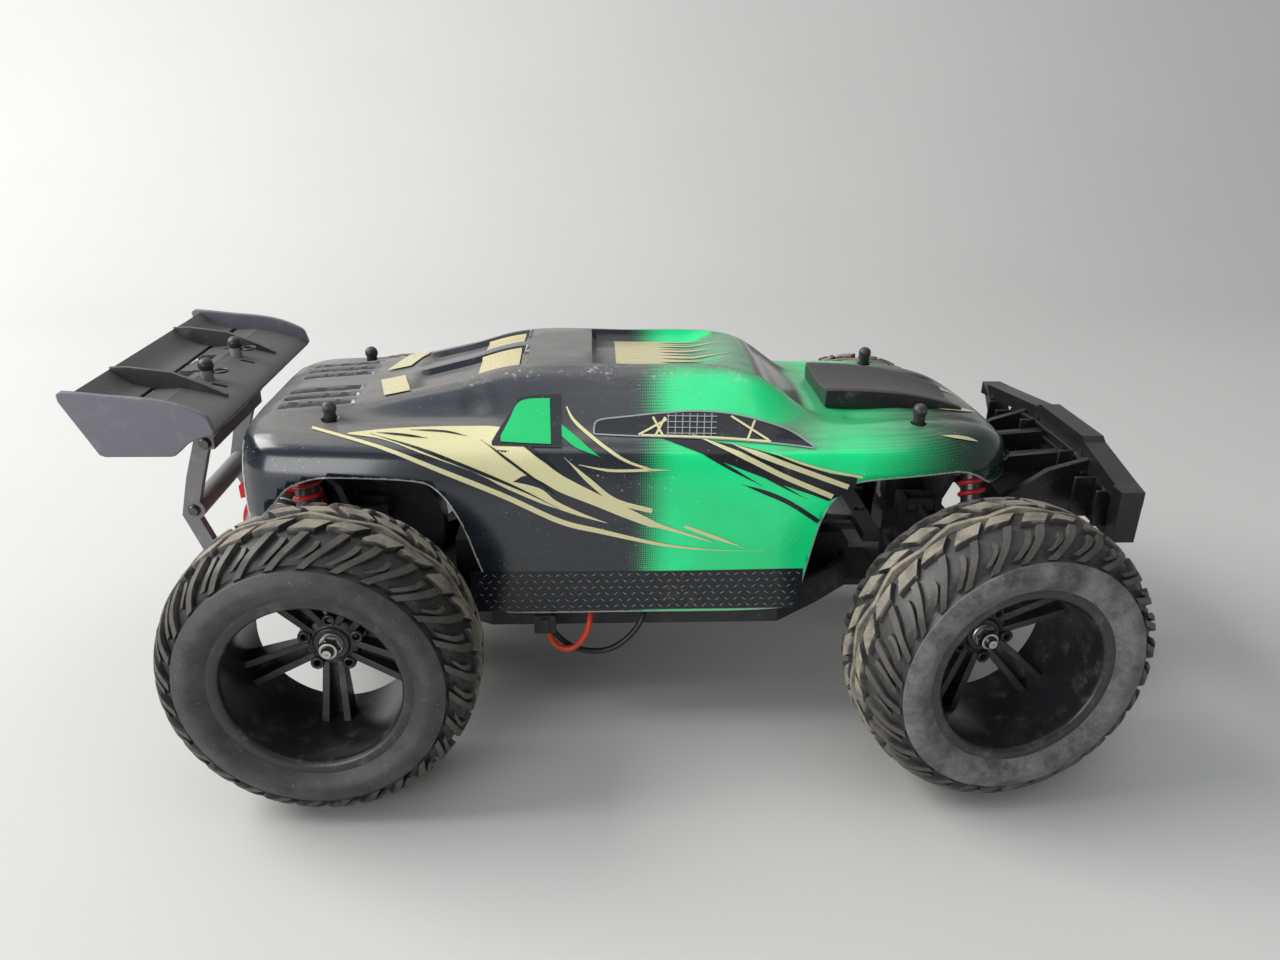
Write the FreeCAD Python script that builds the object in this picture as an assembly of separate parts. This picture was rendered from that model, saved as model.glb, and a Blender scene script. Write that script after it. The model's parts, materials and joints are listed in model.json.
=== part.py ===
"""Radio-controlled 1/12 monster truck. Millimetres. +X forward, +Y left, +Z up, origin on the ground."""
import FreeCAD, Part
import math
import os

# ---------------------------------------------------------------- driving dimensions
REAR_X, FRONT_X = -107.8, 127.3      # axle lines
AXLE_Z = 55.0                        # wheel centre height, equal to the tyre radius
TYRE_R = 55.0
LIP_Y = 117.1                        # outer plane of the rim lip
BEAD_R, SEAT_R, BARREL_R, DISH_R = 35.6, 34.0, 32.5, 30.0
TYRE_IN_Y, TYRE_OUT_Y = 73.0, 120.0
STEER_DEG = 8.1                      # front wheels stand turned this far to the left

PIN_R, BORE_R = 1.5, 1.55            # hinge pins and the bores that run on them
SWING_Y, SWING_Z = 44.0, -8.0        # every parallel suspension member, inner to outer pivot
ARM_HALF = 11.0                      # half length of an arm's inner hinge barrel
EYE_HALF = 6.0                       # half length of an outer hinge barrel
EAR_IN, EAR_OUT = 6.3, 9.0           # carrier ears, each side of an outer barrel
REAR_ARM_Y, FRONT_ARM_Y = 16.0, 12.0
ARM_Z, LINK_Z = 46.0, 74.0           # inner pivots of lower arm and upper link
SHAFT_IN = (18.0, 63.0)              # inner joint of the half shaft
KINGPIN_Y = 64.0
HUB_END_Y = 80.0                     # outer face of hub carrier and knuckle
DISC_IN_Y, DISC_OUT_Y = 84.0, 88.6   # wheel disc

SHOCK_DX = 15.5                      # shocks stand this far outside the axle line
REAR_SHOCK_TOP, FRONT_SHOCK_TOP = (40.0, 114.0), (22.0, 106.0)
SHOCK_ARM = 36.0                     # along the arm, pivot to shock foot
SHOCK_EYE_R = 2.6                    # bore of the foot eye, wide for the arc of the arm
CYL_R, CYL_LEN, SPRING_R, SPRING_WIRE = 4.6, 32.0, 5.8, 0.7

SPUR_R, PINION_R = 27.2, 6.8         # pitch radii, module 0.8
SPUR_TEETH, PINION_TEETH = 68, 17
MOTOR = (-139.8, 74.5)               # motor axis, x and z
MOTOR_R = 14.0

HORN_X, LEVER = 87.0, 18.0           # steering horn axis and lever length
LINK_X, TIE_X, TIE_Z = 105.0, 109.8, 66.0
TIE_Y = 22.0

POSTS = {"rear": (-112.7, 39.2, 124.0), "front": (112.5, 42.0, 123.0)}
POST_R, BALL_R, SHELL_HOLE_R = 2.3, 2.8, 3.2
SHELL_WALL = 1.2
SKIRT_Z = 54.0
FLOOR_Z = 37.0                       # underside of the chassis tub
WIRE_R = 1.2
HEAD_R, HEAD_SINK = 2.6, 1.8         # screw head and how far it is sunk into the floor

V = FreeCAD.Vector
os.makedirs("parts", exist_ok=True)


# ---------------------------------------------------------------- helpers
def box(x0, x1, y0, y1, z0, z1):
    """Axis-aligned block between two corners."""
    return Part.makeBox(x1 - x0, y1 - y0, z1 - z0, V(x0, y0, z0))


def rod(start, end, radius):
    """Cylinder between two points."""
    a, b = V(*start), V(*end)
    return Part.makeCylinder(radius, (b - a).Length, a, b - a)


def beam(sections):
    """Solid through quadrilateral or polygonal sections, each a list of points."""
    wires = [Part.makePolygon([V(*p) for p in points + points[:1]]) for points in sections]
    return Part.makeLoft(wires, True, True)


def prism_y(points, y0, y1):
    """Polygon of (x, z) points carried from y0 to y1."""
    face = Part.Face(Part.makePolygon([V(x, y0, z) for x, z in points + points[:1]]))
    return face.extrude(V(0, y1 - y0, 0))


def prism_z(points, z0, z1):
    """Polygon of (x, y) points carried from z0 to z1."""
    face = Part.Face(Part.makePolygon([V(x, y, z0) for x, y in points + points[:1]]))
    return face.extrude(V(0, 0, z1 - z0))


def ring(x, profile):
    """Solid of revolution about the wheel axis from (radius, y) points."""
    face = Part.Face(Part.makePolygon([V(x, y, AXLE_Z + r) for r, y in profile + profile[:1]]))
    return face.revolve(V(x, 0, AXLE_Z), V(0, 1, 0), 360)


def fuse(*shapes):
    """One solid from touching or overlapping pieces."""
    return shapes[0].multiFuse(list(shapes[1:])).removeSplitter()


def mirrored(shape):
    """The same piece on the other side of the truck."""
    return shape.mirror(V(0, 0, 0), V(0, 1, 0))


def turned(shape, x, y, degrees):
    """Turned about a vertical axis."""
    copy = shape.copy()
    copy.rotate(V(x, y, 0), V(0, 0, 1), degrees)
    return copy


def save(name, *solids):
    """Write one node, keeping its solids separate."""
    shape = solids[0] if len(solids) == 1 else Part.makeCompound(list(solids))
    if not shape.isValid():
        print("not valid:", name)
    shape.exportStep("parts/" + name + ".step")


def save_pair(stem, solids, steer_x=None):
    """Left and right copies of a left-hand piece, turned with the steering if asked."""
    for tag, sign in (("left", 1), ("right", -1)):
        placed = [s if sign > 0 else mirrored(s) for s in solids]
        if steer_x is not None:
            placed = [turned(s, steer_x, sign * KINGPIN_Y, STEER_DEG) for s in placed]
        save(stem + "_" + tag, *placed)


def outer(y, z):
    """Outer pivot of a suspension member from its inner one."""
    return y + SWING_Y, z + SWING_Z


# ---------------------------------------------------------------- wheels
def rim(x):
    """Deep-dish wheel: barrel with two bead flanges, a hub disc and five twin-rib spokes."""
    barrel = ring(x, [(DISH_R, TYRE_IN_Y), (BEAD_R, TYRE_IN_Y), (BEAD_R, 76), (SEAT_R, 76), (SEAT_R, 80),
                      (BARREL_R, 81), (BARREL_R, 108), (SEAT_R, 109), (SEAT_R, 113), (BEAD_R, 113),
                      (BEAD_R, LIP_Y), (DISH_R, LIP_Y)])
    hub = ring(x, [(2.0, DISC_IN_Y), (11.0, DISC_IN_Y), (11.0, DISC_OUT_Y), (2.0, DISC_OUT_Y)])
    spokes = []
    for index in range(5):
        spoke = box(x - 4.5, x + 4.5, DISC_IN_Y, DISC_IN_Y + 3.0, AXLE_Z + 9, AXLE_Z + 31)
        spoke.rotate(V(x, 0, AXLE_Z), V(0, 1, 0), 90 + 72 * index)
        spokes.append(spoke)
    return fuse(barrel, hub, *spokes)


def tyre(x):
    """Low-pressure tyre: a hollow carcass, open at the beads."""
    carcass = ring(x, [(SEAT_R, 76.1), (SEAT_R, 112.9), (35.8, 112.9), (35.8, 118.6), (40, TYRE_OUT_Y), (46, 119),
                       (51, 115), (54, 108), (TYRE_R, 101), (TYRE_R, 92), (54, 85), (51, 78), (46, 74),
                       (40, TYRE_IN_Y), (35.8, 74.2), (35.8, 76.1)])
    hollow = ring(x, [(33.0, 80), (33.0, 109), (40, 115), (46, 112), (50, 105), (50, 88), (46, 81), (40, 78)])
    return carcass.cut(hollow)


def axle_set(x, inner_y, cup):
    """Stub axle, its drive hexagon and the locking nut."""
    shaft = rod((x, inner_y, AXLE_Z), (x, DISC_IN_Y, AXLE_Z), 2.5)
    thread = rod((x, DISC_IN_Y, AXLE_Z), (x, 95.6, AXLE_Z), 2.0)
    stub = fuse(shaft, thread)
    if cup:
        inner = rod((x, inner_y - 7, AXLE_Z), (x, inner_y + 0.3, AXLE_Z), 4.5)
        stub = fuse(stub, inner).cut(rod((x, inner_y - 8, AXLE_Z), (x, inner_y - 0.5, AXLE_Z), 3.4))
    drive_hex = hexagon(x, HUB_END_Y + 0.4, DISC_IN_Y, 6.9).cut(rod((x, 60, AXLE_Z), (x, 99, AXLE_Z), 2.5))
    nut = hexagon(x, DISC_OUT_Y, DISC_OUT_Y + 5.0, 4.04).cut(rod((x, 60, AXLE_Z), (x, 99, AXLE_Z), 2.0))
    return [stub, drive_hex, nut]


def hexagon(x, y0, y1, corner_r):
    """Six-sided prism on the wheel axis."""
    points = [(x + corner_r * math.cos(math.radians(60 * k)), AXLE_Z + corner_r * math.sin(math.radians(60 * k)))
              for k in range(6)]
    return prism_y(points, y0, y1)


# ---------------------------------------------------------------- suspension
def lower_arm(x, arm_y, shock_sign):
    """A-shaped arm, modelled level from its inner pivot and then dropped to its rest angle."""
    length = math.hypot(SWING_Y, SWING_Z)
    half = [(EYE_HALF, length - 2), (EYE_HALF, SHOCK_ARM + 2), (12.6, SHOCK_ARM), (12.6, SHOCK_ARM - 6),
            (ARM_HALF, 10), (ARM_HALF, 2)]
    plan = half + [(-px, py) for px, py in reversed(half)]
    plate = prism_z(plan, -2.0, 2.0).cut(prism_z([(-6, 9), (6, 9), (5, 26), (-5, 26)], -3, 3))
    inner = rod((-ARM_HALF, 0, 0), (ARM_HALF, 0, 0), 3.4)
    end = rod((-EYE_HALF, length, 0), (EYE_HALF, length, 0), 3.4)
    foot = rod((shock_sign * 11, SHOCK_ARM, 2.5), (shock_sign * (SHOCK_DX + 3.4), SHOCK_ARM, 2.5), PIN_R)
    pad = rod((shock_sign * 8, SHOCK_ARM, 2.0), (shock_sign * 12.6, SHOCK_ARM, 2.0), 3.2)
    arm = fuse(plate, inner, end, pad, foot)
    arm = arm.cut(rod((-20, 0, 0), (20, 0, 0), BORE_R)).cut(rod((-20, length, 0), (20, length, 0), BORE_R))
    arm.rotate(V(0, 0, 0), V(1, 0, 0), math.degrees(math.atan2(SWING_Z, SWING_Y)))
    arm.translate(V(x, arm_y, ARM_Z))
    return arm


def shock_foot(arm_y):
    """Where the shock's lower eye sits at rest, as (y, z)."""
    angle = math.atan2(SWING_Z, SWING_Y)
    return (arm_y + SHOCK_ARM * math.cos(angle) - 2.5 * math.sin(angle),
            ARM_Z + SHOCK_ARM * math.sin(angle) + 2.5 * math.cos(angle))


def upper_link(x, arm_y):
    """Camber link: a round rod between two hinge eyes."""
    y1, z1 = outer(arm_y, LINK_Z)
    eye_in = rod((x - EYE_HALF, arm_y, LINK_Z), (x + EYE_HALF, arm_y, LINK_Z), 3.1)
    eye_out = rod((x - EYE_HALF, y1, z1), (x + EYE_HALF, y1, z1), 3.1)
    link = fuse(rod((x, arm_y, LINK_Z), (x, y1, z1), 2.0), eye_in, eye_out)
    for y, z in ((arm_y, LINK_Z), (y1, z1)):
        link = link.cut(rod((x - 9, y, z), (x + 9, y, z), BORE_R))
    return link


def ears(x, y, y_end):
    """Two side plates that carry both outer hinge pins, with the pins in them."""
    low, high = ARM_Z + SWING_Z, LINK_Z + SWING_Z
    plates = [box(x + a, x + b, y - 4, y_end, low - 4, high + 4) for a, b in ((-EAR_OUT, -EAR_IN), (EAR_IN, EAR_OUT))]
    pins = [rod((x - EAR_OUT, y, z), (x + EAR_OUT, y, z), PIN_R) for z in (low, high)]
    return plates + pins


def rear_hub():
    """Rear hub carrier with its axle bore."""
    y, _ = outer(REAR_ARM_Y, ARM_Z)
    barrel = rod((REAR_X, 67, AXLE_Z), (REAR_X, HUB_END_Y, AXLE_Z), 8.5)
    web = box(REAR_X - EAR_OUT, REAR_X + EAR_OUT, 66.2, 70, AXLE_Z - 12, AXLE_Z + 14)
    body = fuse(barrel, web, *ears(REAR_X, y, 67))
    return body.cut(rod((REAR_X, 50, AXLE_Z), (REAR_X, 90, AXLE_Z), BORE_R + 1.0))


def caster_block():
    """Front C-shaped block: ears for the arms, two lugs and the kingpins."""
    y, _ = outer(FRONT_ARM_Y, ARM_Z)
    low_lug = box(FRONT_X - EAR_OUT, FRONT_X + EAR_OUT, y + 4.2, 68, 35.5, 39.5)
    high_lug = box(FRONT_X - EAR_OUT, FRONT_X + EAR_OUT, y + 4.2, 68, 67, 70)
    pins = [rod((FRONT_X, KINGPIN_Y, z0), (FRONT_X, KINGPIN_Y, z1), PIN_R) for z0, z1 in ((35.5, 46), (61, 72))]
    return fuse(low_lug, high_lug, *ears(FRONT_X, y, 61), *pins)


def knuckle():
    """Steering knuckle, modelled straight ahead: column, axle housing and steering lever."""
    column = rod((FRONT_X, KINGPIN_Y, 40), (FRONT_X, KINGPIN_Y, 66.5), 4.6)
    housing = rod((FRONT_X, KINGPIN_Y + 3, AXLE_Z), (FRONT_X, HUB_END_Y, AXLE_Z), 6.0)
    end_x = FRONT_X - LEVER
    lever = prism_z([(FRONT_X, 67), (FRONT_X, 73), (end_x - 3, 68), (end_x - 3, 64.3), (end_x + 2, 64.3)], 52, 55)
    stud = rod((end_x, KINGPIN_Y + 2, 54), (end_x, KINGPIN_Y + 2, 60.5), 1.2)
    body = fuse(column, housing, lever, stud)
    for z0, z1 in ((39, 46.5), (60.5, 67)):
        body = body.cut(rod((FRONT_X, KINGPIN_Y, z0), (FRONT_X, KINGPIN_Y, z1), BORE_R))
    return body.cut(rod((FRONT_X, KINGPIN_Y + 5, AXLE_Z), (FRONT_X, 90, AXLE_Z), BORE_R + 1.0))


def tie_rod(sign):
    """Track rod from the centre link to a knuckle lever, with a wide outer ring."""
    shift = -LEVER * math.sin(math.radians(STEER_DEG))
    y0 = sign * TIE_Y + shift
    y1, z1 = y0 + sign * SWING_Y, TIE_Z + SWING_Z
    eye = rod((TIE_X - 1.8, y0, TIE_Z), (TIE_X + 1.8, y0, TIE_Z), 3.0)
    bar = rod((TIE_X, y0, TIE_Z), (TIE_X, y1 - sign * 3, z1 + 0.5), 1.6)
    loop = rod((TIE_X, y1, z1 - 1.3), (TIE_X, y1, z1 + 1.3), 5.4)
    body = fuse(eye, bar, loop)
    body = body.cut(rod((TIE_X - 5, y0, TIE_Z), (TIE_X + 5, y0, TIE_Z), BORE_R))
    return body.cut(rod((TIE_X, y1, z1 - 5), (TIE_X, y1, z1 + 5), 3.9))


def shock(x, foot, top):
    """Oil damper: cylinder, rod with spring cup and foot eye, and the coil spring around both."""
    fy, fz = foot
    ty, tz = top
    span = math.hypot(ty - fy, tz - fz)
    uy, uz = (ty - fy) / span, (tz - fz) / span
    at = lambda s: (x, fy + uy * s, fz + uz * s)
    cap_top = span - 4.2
    cyl_low = span - CYL_LEN
    cap = rod(at(cap_top - 4), at(cap_top), 6.2)
    eye = rod((x - 2.5, ty, tz), (x + 2.5, ty, tz), 3.4)
    neck = rod(at(cap_top - 1), at(span), 2.4)
    cylinder = fuse(rod(at(cyl_low), at(cap_top), CYL_R), cap, neck, eye)
    cylinder = cylinder.cut(rod((x - 5, ty, tz), (x + 5, ty, tz), BORE_R))
    cylinder = cylinder.cut(rod(at(cyl_low - 1), at(cap_top - 6), 1.75))
    piston = rod(at(3), at(cyl_low + 8), 1.7)
    cup = rod(at(6.0), at(8.0), 6.2)
    ball = rod((x - 2.5, fy, fz), (x + 2.5, fy, fz), 4.3)
    shaft = fuse(piston, cup, rod(at(2), at(6.5), 2.6), ball)
    shaft = shaft.cut(rod((x - 5, fy, fz), (x + 5, fy, fz), SHOCK_EYE_R))
    return cylinder, shaft, coil(at, 8.0, cap_top - 4)


def coil(at, s0, s1):
    """Spring as a thin sleeve of the coil's outer and inner radius."""
    return rod(at(s0), at(s1), SPRING_R).cut(rod(at(s0 - 1), at(s1 + 1), SPRING_R - SPRING_WIRE))


# ---------------------------------------------------------------- gearbox and motor
def gear_outline(margin, y):
    """Housing outline at a clearance from both gears: two cylinders and the web between."""
    spur = rod((REAR_X, -y, SHAFT_IN[1]), (REAR_X, y, SHAFT_IN[1]), SPUR_R + margin)
    pinion = rod((MOTOR[0], -y, MOTOR[1]), (MOTOR[0], y, MOTOR[1]), PINION_R + margin)
    web = prism_y([(REAR_X, SHAFT_IN[1] + 15), (REAR_X, SHAFT_IN[1] - 8), (MOTOR[0], MOTOR[1] - 4),
                   (MOTOR[0], MOTOR[1] + 4)], -y, y)
    return fuse(spur, pinion, web)


def gearbox():
    """Two-gear housing, hollow, with bores for the outdrives and the motor shaft."""
    housing = gear_outline(2.6, 6.0).cut(gear_outline(1.4, 4.2))
    bosses = [rod((REAR_X, s * 6.0, SHAFT_IN[1]), (REAR_X, s * 11.0, SHAFT_IN[1]), 6.0) for s in (-1, 1)]
    body = fuse(housing, *bosses)
    body = body.cut(rod((REAR_X, -20, SHAFT_IN[1]), (REAR_X, 20, SHAFT_IN[1]), 3.05))
    return body.cut(rod((MOTOR[0], -7, MOTOR[1]), (MOTOR[0], 0, MOTOR[1]), 2.0))


def toothed(x, z, pitch_r, teeth, half_width, phase):
    """Spur gear with trapezoid teeth, axis along Y."""
    points = []
    for k in range(teeth):
        for offset, radius in ((-0.32, pitch_r - 0.9), (-0.16, pitch_r + 0.7), (0.16, pitch_r + 0.7),
                               (0.32, pitch_r - 0.9)):
            a = math.radians(phase) + 2 * math.pi * (k + offset) / teeth
            points.append((x + radius * math.cos(a), z + radius * math.sin(a)))
    return prism_y(points, -half_width, half_width)


def gears():
    """Spur gear with its two outdrive cups, and the pinion on the motor shaft."""
    to_pinion = math.degrees(math.atan2(MOTOR[1] - SHAFT_IN[1], MOTOR[0] - REAR_X))
    spur = toothed(REAR_X, SHAFT_IN[1], SPUR_R - 0.1, SPUR_TEETH, 3.0, to_pinion)
    shaft = rod((REAR_X, -14.5, SHAFT_IN[1]), (REAR_X, 14.5, SHAFT_IN[1]), 3.0)
    spur = fuse(spur, shaft)
    for s in (-1, 1):
        cup = rod((REAR_X, s * 11.4, SHAFT_IN[1]), (REAR_X, s * 21.5, SHAFT_IN[1]), 4.5)
        spur = fuse(spur, cup)
    for s in (-1, 1):
        spur = spur.cut(rod((REAR_X, s * 14.5, SHAFT_IN[1]), (REAR_X, s * 22, SHAFT_IN[1]), 3.4))
    half_pitch = 180.0 / PINION_TEETH
    pinion = toothed(MOTOR[0], MOTOR[1], PINION_R - 0.1, PINION_TEETH, 3.6, to_pinion + 180 + half_pitch)
    pinion = fuse(pinion, rod((MOTOR[0], -9.2, MOTOR[1]), (MOTOR[0], 3.6, MOTOR[1]), 1.6))
    return spur, pinion


def motor():
    """Can motor with end bell, bored for the pinion shaft, and a clamp-on cooling collar."""
    x, z = MOTOR
    can = fuse(rod((x, -31, z), (x, -6.1, z), MOTOR_R), rod((x, -36, z), (x, -31, z), 5.0),
               rod((x, -34, z), (x, -31, z), 12.6))
    can = can.cut(rod((x, -9.4, z), (x, 0, z), 2.0))
    collar = rod((x, -26, z), (x, -14, z), MOTOR_R + 2.2).cut(rod((x, -27, z), (x, -13, z), MOTOR_R))
    lug = box(x - 16.5, x - 7.5, -25, -15, z + 10, z + 17).cut(rod((x, -27, z), (x, -13, z), MOTOR_R))
    return can, fuse(collar, lug)


def drive_shaft():
    """Half shaft with a ball at each end."""
    y1, z1 = outer(*SHAFT_IN)
    inner, end = V(REAR_X, *SHAFT_IN), V(REAR_X, y1, z1)
    return fuse(rod(tuple(inner), tuple(end), 1.6), Part.makeSphere(3.0, inner), Part.makeSphere(3.0, end))


# ---------------------------------------------------------------- chassis and structure
TUB = [(-93, 20), (-76, 34), (-55, 46), (62, 46), (82, 30), (98, 15)]
TUB_IN = [(-91, 18), (-75, 32), (-54, 44), (61, 44), (81, 28), (96, 13)]


def both_sides(half):
    """Closed outline from a half outline of (x, y) points."""
    return half + [(x, -y) for x, y in reversed(half)]


def arm_lugs(x, arm_y, web_y):
    """Four lugs and two hinge pins for a pair of lower arms."""
    parts = []
    for side in (-1, 1):
        for a, b in ((-ARM_HALF - 3, -ARM_HALF - 0.3), (ARM_HALF + 0.3, ARM_HALF + 3)):
            y0, y1 = sorted((side * web_y, side * (arm_y + 3.6)))
            parts.append(box(x + a, x + b, y0, y1, FLOOR_Z, ARM_Z + 4))
        parts.append(rod((x - ARM_HALF - 3, side * arm_y, ARM_Z), (x + ARM_HALF + 3, side * arm_y, ARM_Z), PIN_R))
    return parts


def chassis():
    """Moulded tub with raised sides, narrow ends and the lugs that hold the lower arms."""
    tub = prism_z(both_sides(TUB), FLOOR_Z, 50).cut(prism_z(both_sides(TUB_IN), FLOOR_Z + 3, 51))
    tail = box(-124, -91, -20, 20, FLOOR_Z, FLOOR_Z + 3)
    nose = box(95, FRONT_X + 14, -15.6, 15.6, FLOOR_Z, FLOOR_Z + 3)
    bulkhead = box(FRONT_X - 14, FRONT_X + 14, -8, 8, FLOOR_Z, 69)
    bumper_seat = box(FRONT_X + 10, FRONT_X + 14, -15, 15, 52, 70)
    grommet = box(-20, 13, -48, -44, 44, 53)
    body = fuse(tub, tail, nose, bulkhead, bumper_seat, grommet,
                *arm_lugs(REAR_X, REAR_ARM_Y, 9.5), *arm_lugs(FRONT_X, FRONT_ARM_Y, 6))
    return body.cut(gear_outline(2.7, 9.0))


def link_ears(x, arm_y, web_y):
    """Ears and pins for both upper links."""
    parts = []
    for side in (-1, 1):
        y0, y1 = sorted((side * web_y, side * (web_y + 1.6)))
        parts.append(box(x - EAR_OUT, x + EAR_OUT, y0, y1, LINK_Z - 5, LINK_Z + 5))
        y0, y1 = sorted((side * web_y, side * (arm_y + 3.4)))
        for a, b in ((-EAR_OUT, -EAR_IN), (EAR_IN, EAR_OUT)):
            parts.append(box(x + a, x + b, y0, y1, LINK_Z - 5, LINK_Z + 5))
        parts.append(rod((x - EAR_OUT, side * arm_y, LINK_Z), (x + EAR_OUT, side * arm_y, LINK_Z), PIN_R))
    return parts


def tower(x, sign, half, top, arm_y, web_y, post):
    """Shock tower: a plate with link ears below, shock pins and body posts above."""
    outline = half + [(-y, z) for y, z in reversed(half)]
    x0, x1 = sorted((x + sign * EAR_IN, x + sign * EAR_OUT))
    face = Part.Face(Part.makePolygon([V(x0, y, z) for y, z in outline + outline[:1]]))
    parts = [face.extrude(V(x1 - x0, 0, 0))]
    post_x, post_y, deck_z = post
    for side in (-1, 1):
        parts.append(rod((x0, side * top[0], top[1]), (x + sign * (SHOCK_DX + 3.4), side * top[0], top[1]), PIN_R))
        tab_x = sorted((x0 if sign > 0 else x1, post_x - sign * 3.2))
        tab_z = half[-2][1] - 6
        y0, y1 = sorted((side * (post_y - 3.4), side * (post_y + 3.4)))
        parts.append(box(tab_x[0], tab_x[1], y0, y1, tab_z, tab_z + 3))
        parts.append(rod((post_x, side * post_y, tab_z), (post_x, side * post_y, deck_z + 3), POST_R))
        parts.append(Part.makeSphere(BALL_R, V(post_x, side * post_y, deck_z + 4)))
    return fuse(*parts, *link_ears(x, arm_y, web_y))


REAR_TOWER = [(9.3, 69), (20, 80), (30, 92), (47, 104), (47, 117), (33, 119), (20, 100)]
FRONT_TOWER = [(8.1, 69), (17, 80), (28, 94), (46, 103), (46, 110), (20, 111)]


def tail_frame():
    """Two bent struts, a base plate, two cross bars and the wing posts."""
    path = [(-128, 41), (-150, 47), (-165, 62), (-172, 80), (-168, 94), (-163, 110)]
    edge = [(-124, FLOOR_Z), (-152, 41), (-170, 59), (-178, 80), (-174, 96), (-168, 114)]
    outline = path + [(-160, 114)] + edge[::-1]
    parts = [prism_y(outline, s * 28 - 2, s * 28 + 2) for s in (-1, 1)]
    parts.append(box(-142, -124, -30, 30, FLOOR_Z, FLOOR_Z + 4))
    parts.append(rod((-173, -30, 82), (-173, 30, 82), 4.2))
    parts.append(box(-168, -161, -30, 30, 108, 113))
    for y in (-17, 17):
        parts.append(rod((-164.5, y, 112), (-164.5, y, 137.5), 2.4))
        parts.append(rod((-164.5, y, 112), (-164.5, y, 128.6), 4.0))
    frame = fuse(*parts).cut(gear_outline(2.7, 9.0))
    for y in (-17, 17):
        frame = frame.cut(rod((-170, y, 136.0), (-158, y, 136.0), 0.55))
    return frame


def wing():
    """Sloping wing element with an upturned tail, two windows, two fences and two end plates."""
    element = prism_y([(-198.5, 142), (-190, 138.4), (-170, 134), (-150, 130), (-146.6, 127.2), (-147.4, 125.8),
                       (-152, 127.4), (-171, 131.5), (-190, 135.8), (-197.5, 140)], -62, 62)
    plate = [(-198.5, 142.2), (-181, 140.5), (-163, 138.3), (-149, 133.7), (-146.6, 126.6), (-149, 125.5),
             (-155, 123.4), (-161, 118.7), (-187, 117.9), (-191, 123.6), (-198.5, 139.8)]
    fence = [(-193, 139), (-188, 141.5), (-168, 138.5), (-157, 132.5), (-155, 129)]
    parts = [element]
    for s in (-1, 1):
        parts.append(prism_y(plate, s * 63.1 - 1.2, s * 63.1 + 1.2))
        parts.append(prism_y(fence, s * 31 - 1, s * 31 + 1))
    body = fuse(*parts)
    for s in (-1, 1):
        body = body.cut(rod((-164.5, s * 17, 120), (-164.5, s * 17, 145), 2.5))
        body = body.cut(box(-180, -168, s * 12 - 4, s * 12 + 4, 120, 145))
    return body


def wing_clips():
    """Two spring clips through the wing posts, each a loop of wire."""
    clips = []
    for y in (-17, 17):
        ring_wire = Part.makeTorus(2.6, 0.5, V(-159.0, y, 136.0))
        clips.append(fuse(ring_wire, rod((-169.5, y, 136.0), (-161.2, y, 136.0), 0.5)))
    return clips


def bumper():
    """Trapezoid front bumper with a raised centre, cross slats, legs and braces."""
    def section(y, x0, x1, z0, z1):
        return [(x0, y, z0), (x1, y, z0), (x1, y, z1), (x0, y, z1)]
    plate_y = 31.5
    side_plate = [(152, 74), (165, 73), (192, 79), (192, 104), (172, 98), (152, 84)]
    under_plate = [(152, 74), (165, 73), (192, 79), (192, 82), (165, 76.5), (152, 77)]
    top = [section(-71, 182, 191, 98.5, 104.4), section(-62, 183.5, 192.5, 98.7, 104.6),
           section(-24, 189.3, 198.3, 101.2, 107), section(-21, 189.5, 198.5, 102.8, 108.7)]
    top += [[(x, -y, z) for x, y, z in points] for points in reversed(top)]
    low = [section(-62, 187, 195.5, 80, 85.5), section(-24, 189.5, 198.5, 79, 84.5)]
    low += [[(x, -y, z) for x, y, z in points] for points in reversed(low)]
    slat = [section(-64, 185.5, 190, 91, 93.5), section(0, 190.5, 196, 92, 94.5), section(64, 185.5, 190, 91, 93.5)]
    parts = [beam(top), beam(low), beam(slat)]
    for s in (-1, 1):
        parts.append(beam([[(182, s * 71, 104.4), (191, s * 71, 104.4), (191, s * 64, 104.4), (182, s * 64, 104.4)],
                           [(187, s * 63, 80), (195.5, s * 63, 80), (195.5, s * 56, 80), (187, s * 56, 80)]]))
        parts.append(beam([[(189, s * 20, 103), (196, s * 20, 103), (196, s * 24, 103), (189, s * 24, 103)],
                           [(190, s * 20, 82), (197, s * 20, 82), (197, s * 24, 82), (190, s * 24, 82)]]))
        leg = [(FRONT_X + 14, 8.4, 56), (156, 24, 75)]
        brace = [(FRONT_X + EAR_OUT, 8.4, 84), (156, 10, 90), (192, 10, 93)]
        for route in (leg, brace):
            parts.append(beam([[(x, s * y, z), (x, s * (y + 5.5), z), (x, s * (y + 5.5), z + 7), (x, s * y, z + 7)]
                               for x, y, z in route]))
        parts.append(prism_y(side_plate, s * plate_y - 1.5, s * plate_y + 1.5))
    parts.append(prism_y(under_plate, -plate_y, plate_y))
    parts.append(beam([section(-44, 186.4, 189.4, 81, 99.5), section(-22, 189.6, 192.6, 80.5, 105),
                       section(22, 189.6, 192.6, 80.5, 105), section(44, 186.4, 189.4, 81, 99.5)]))
    return fuse(*parts)


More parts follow.
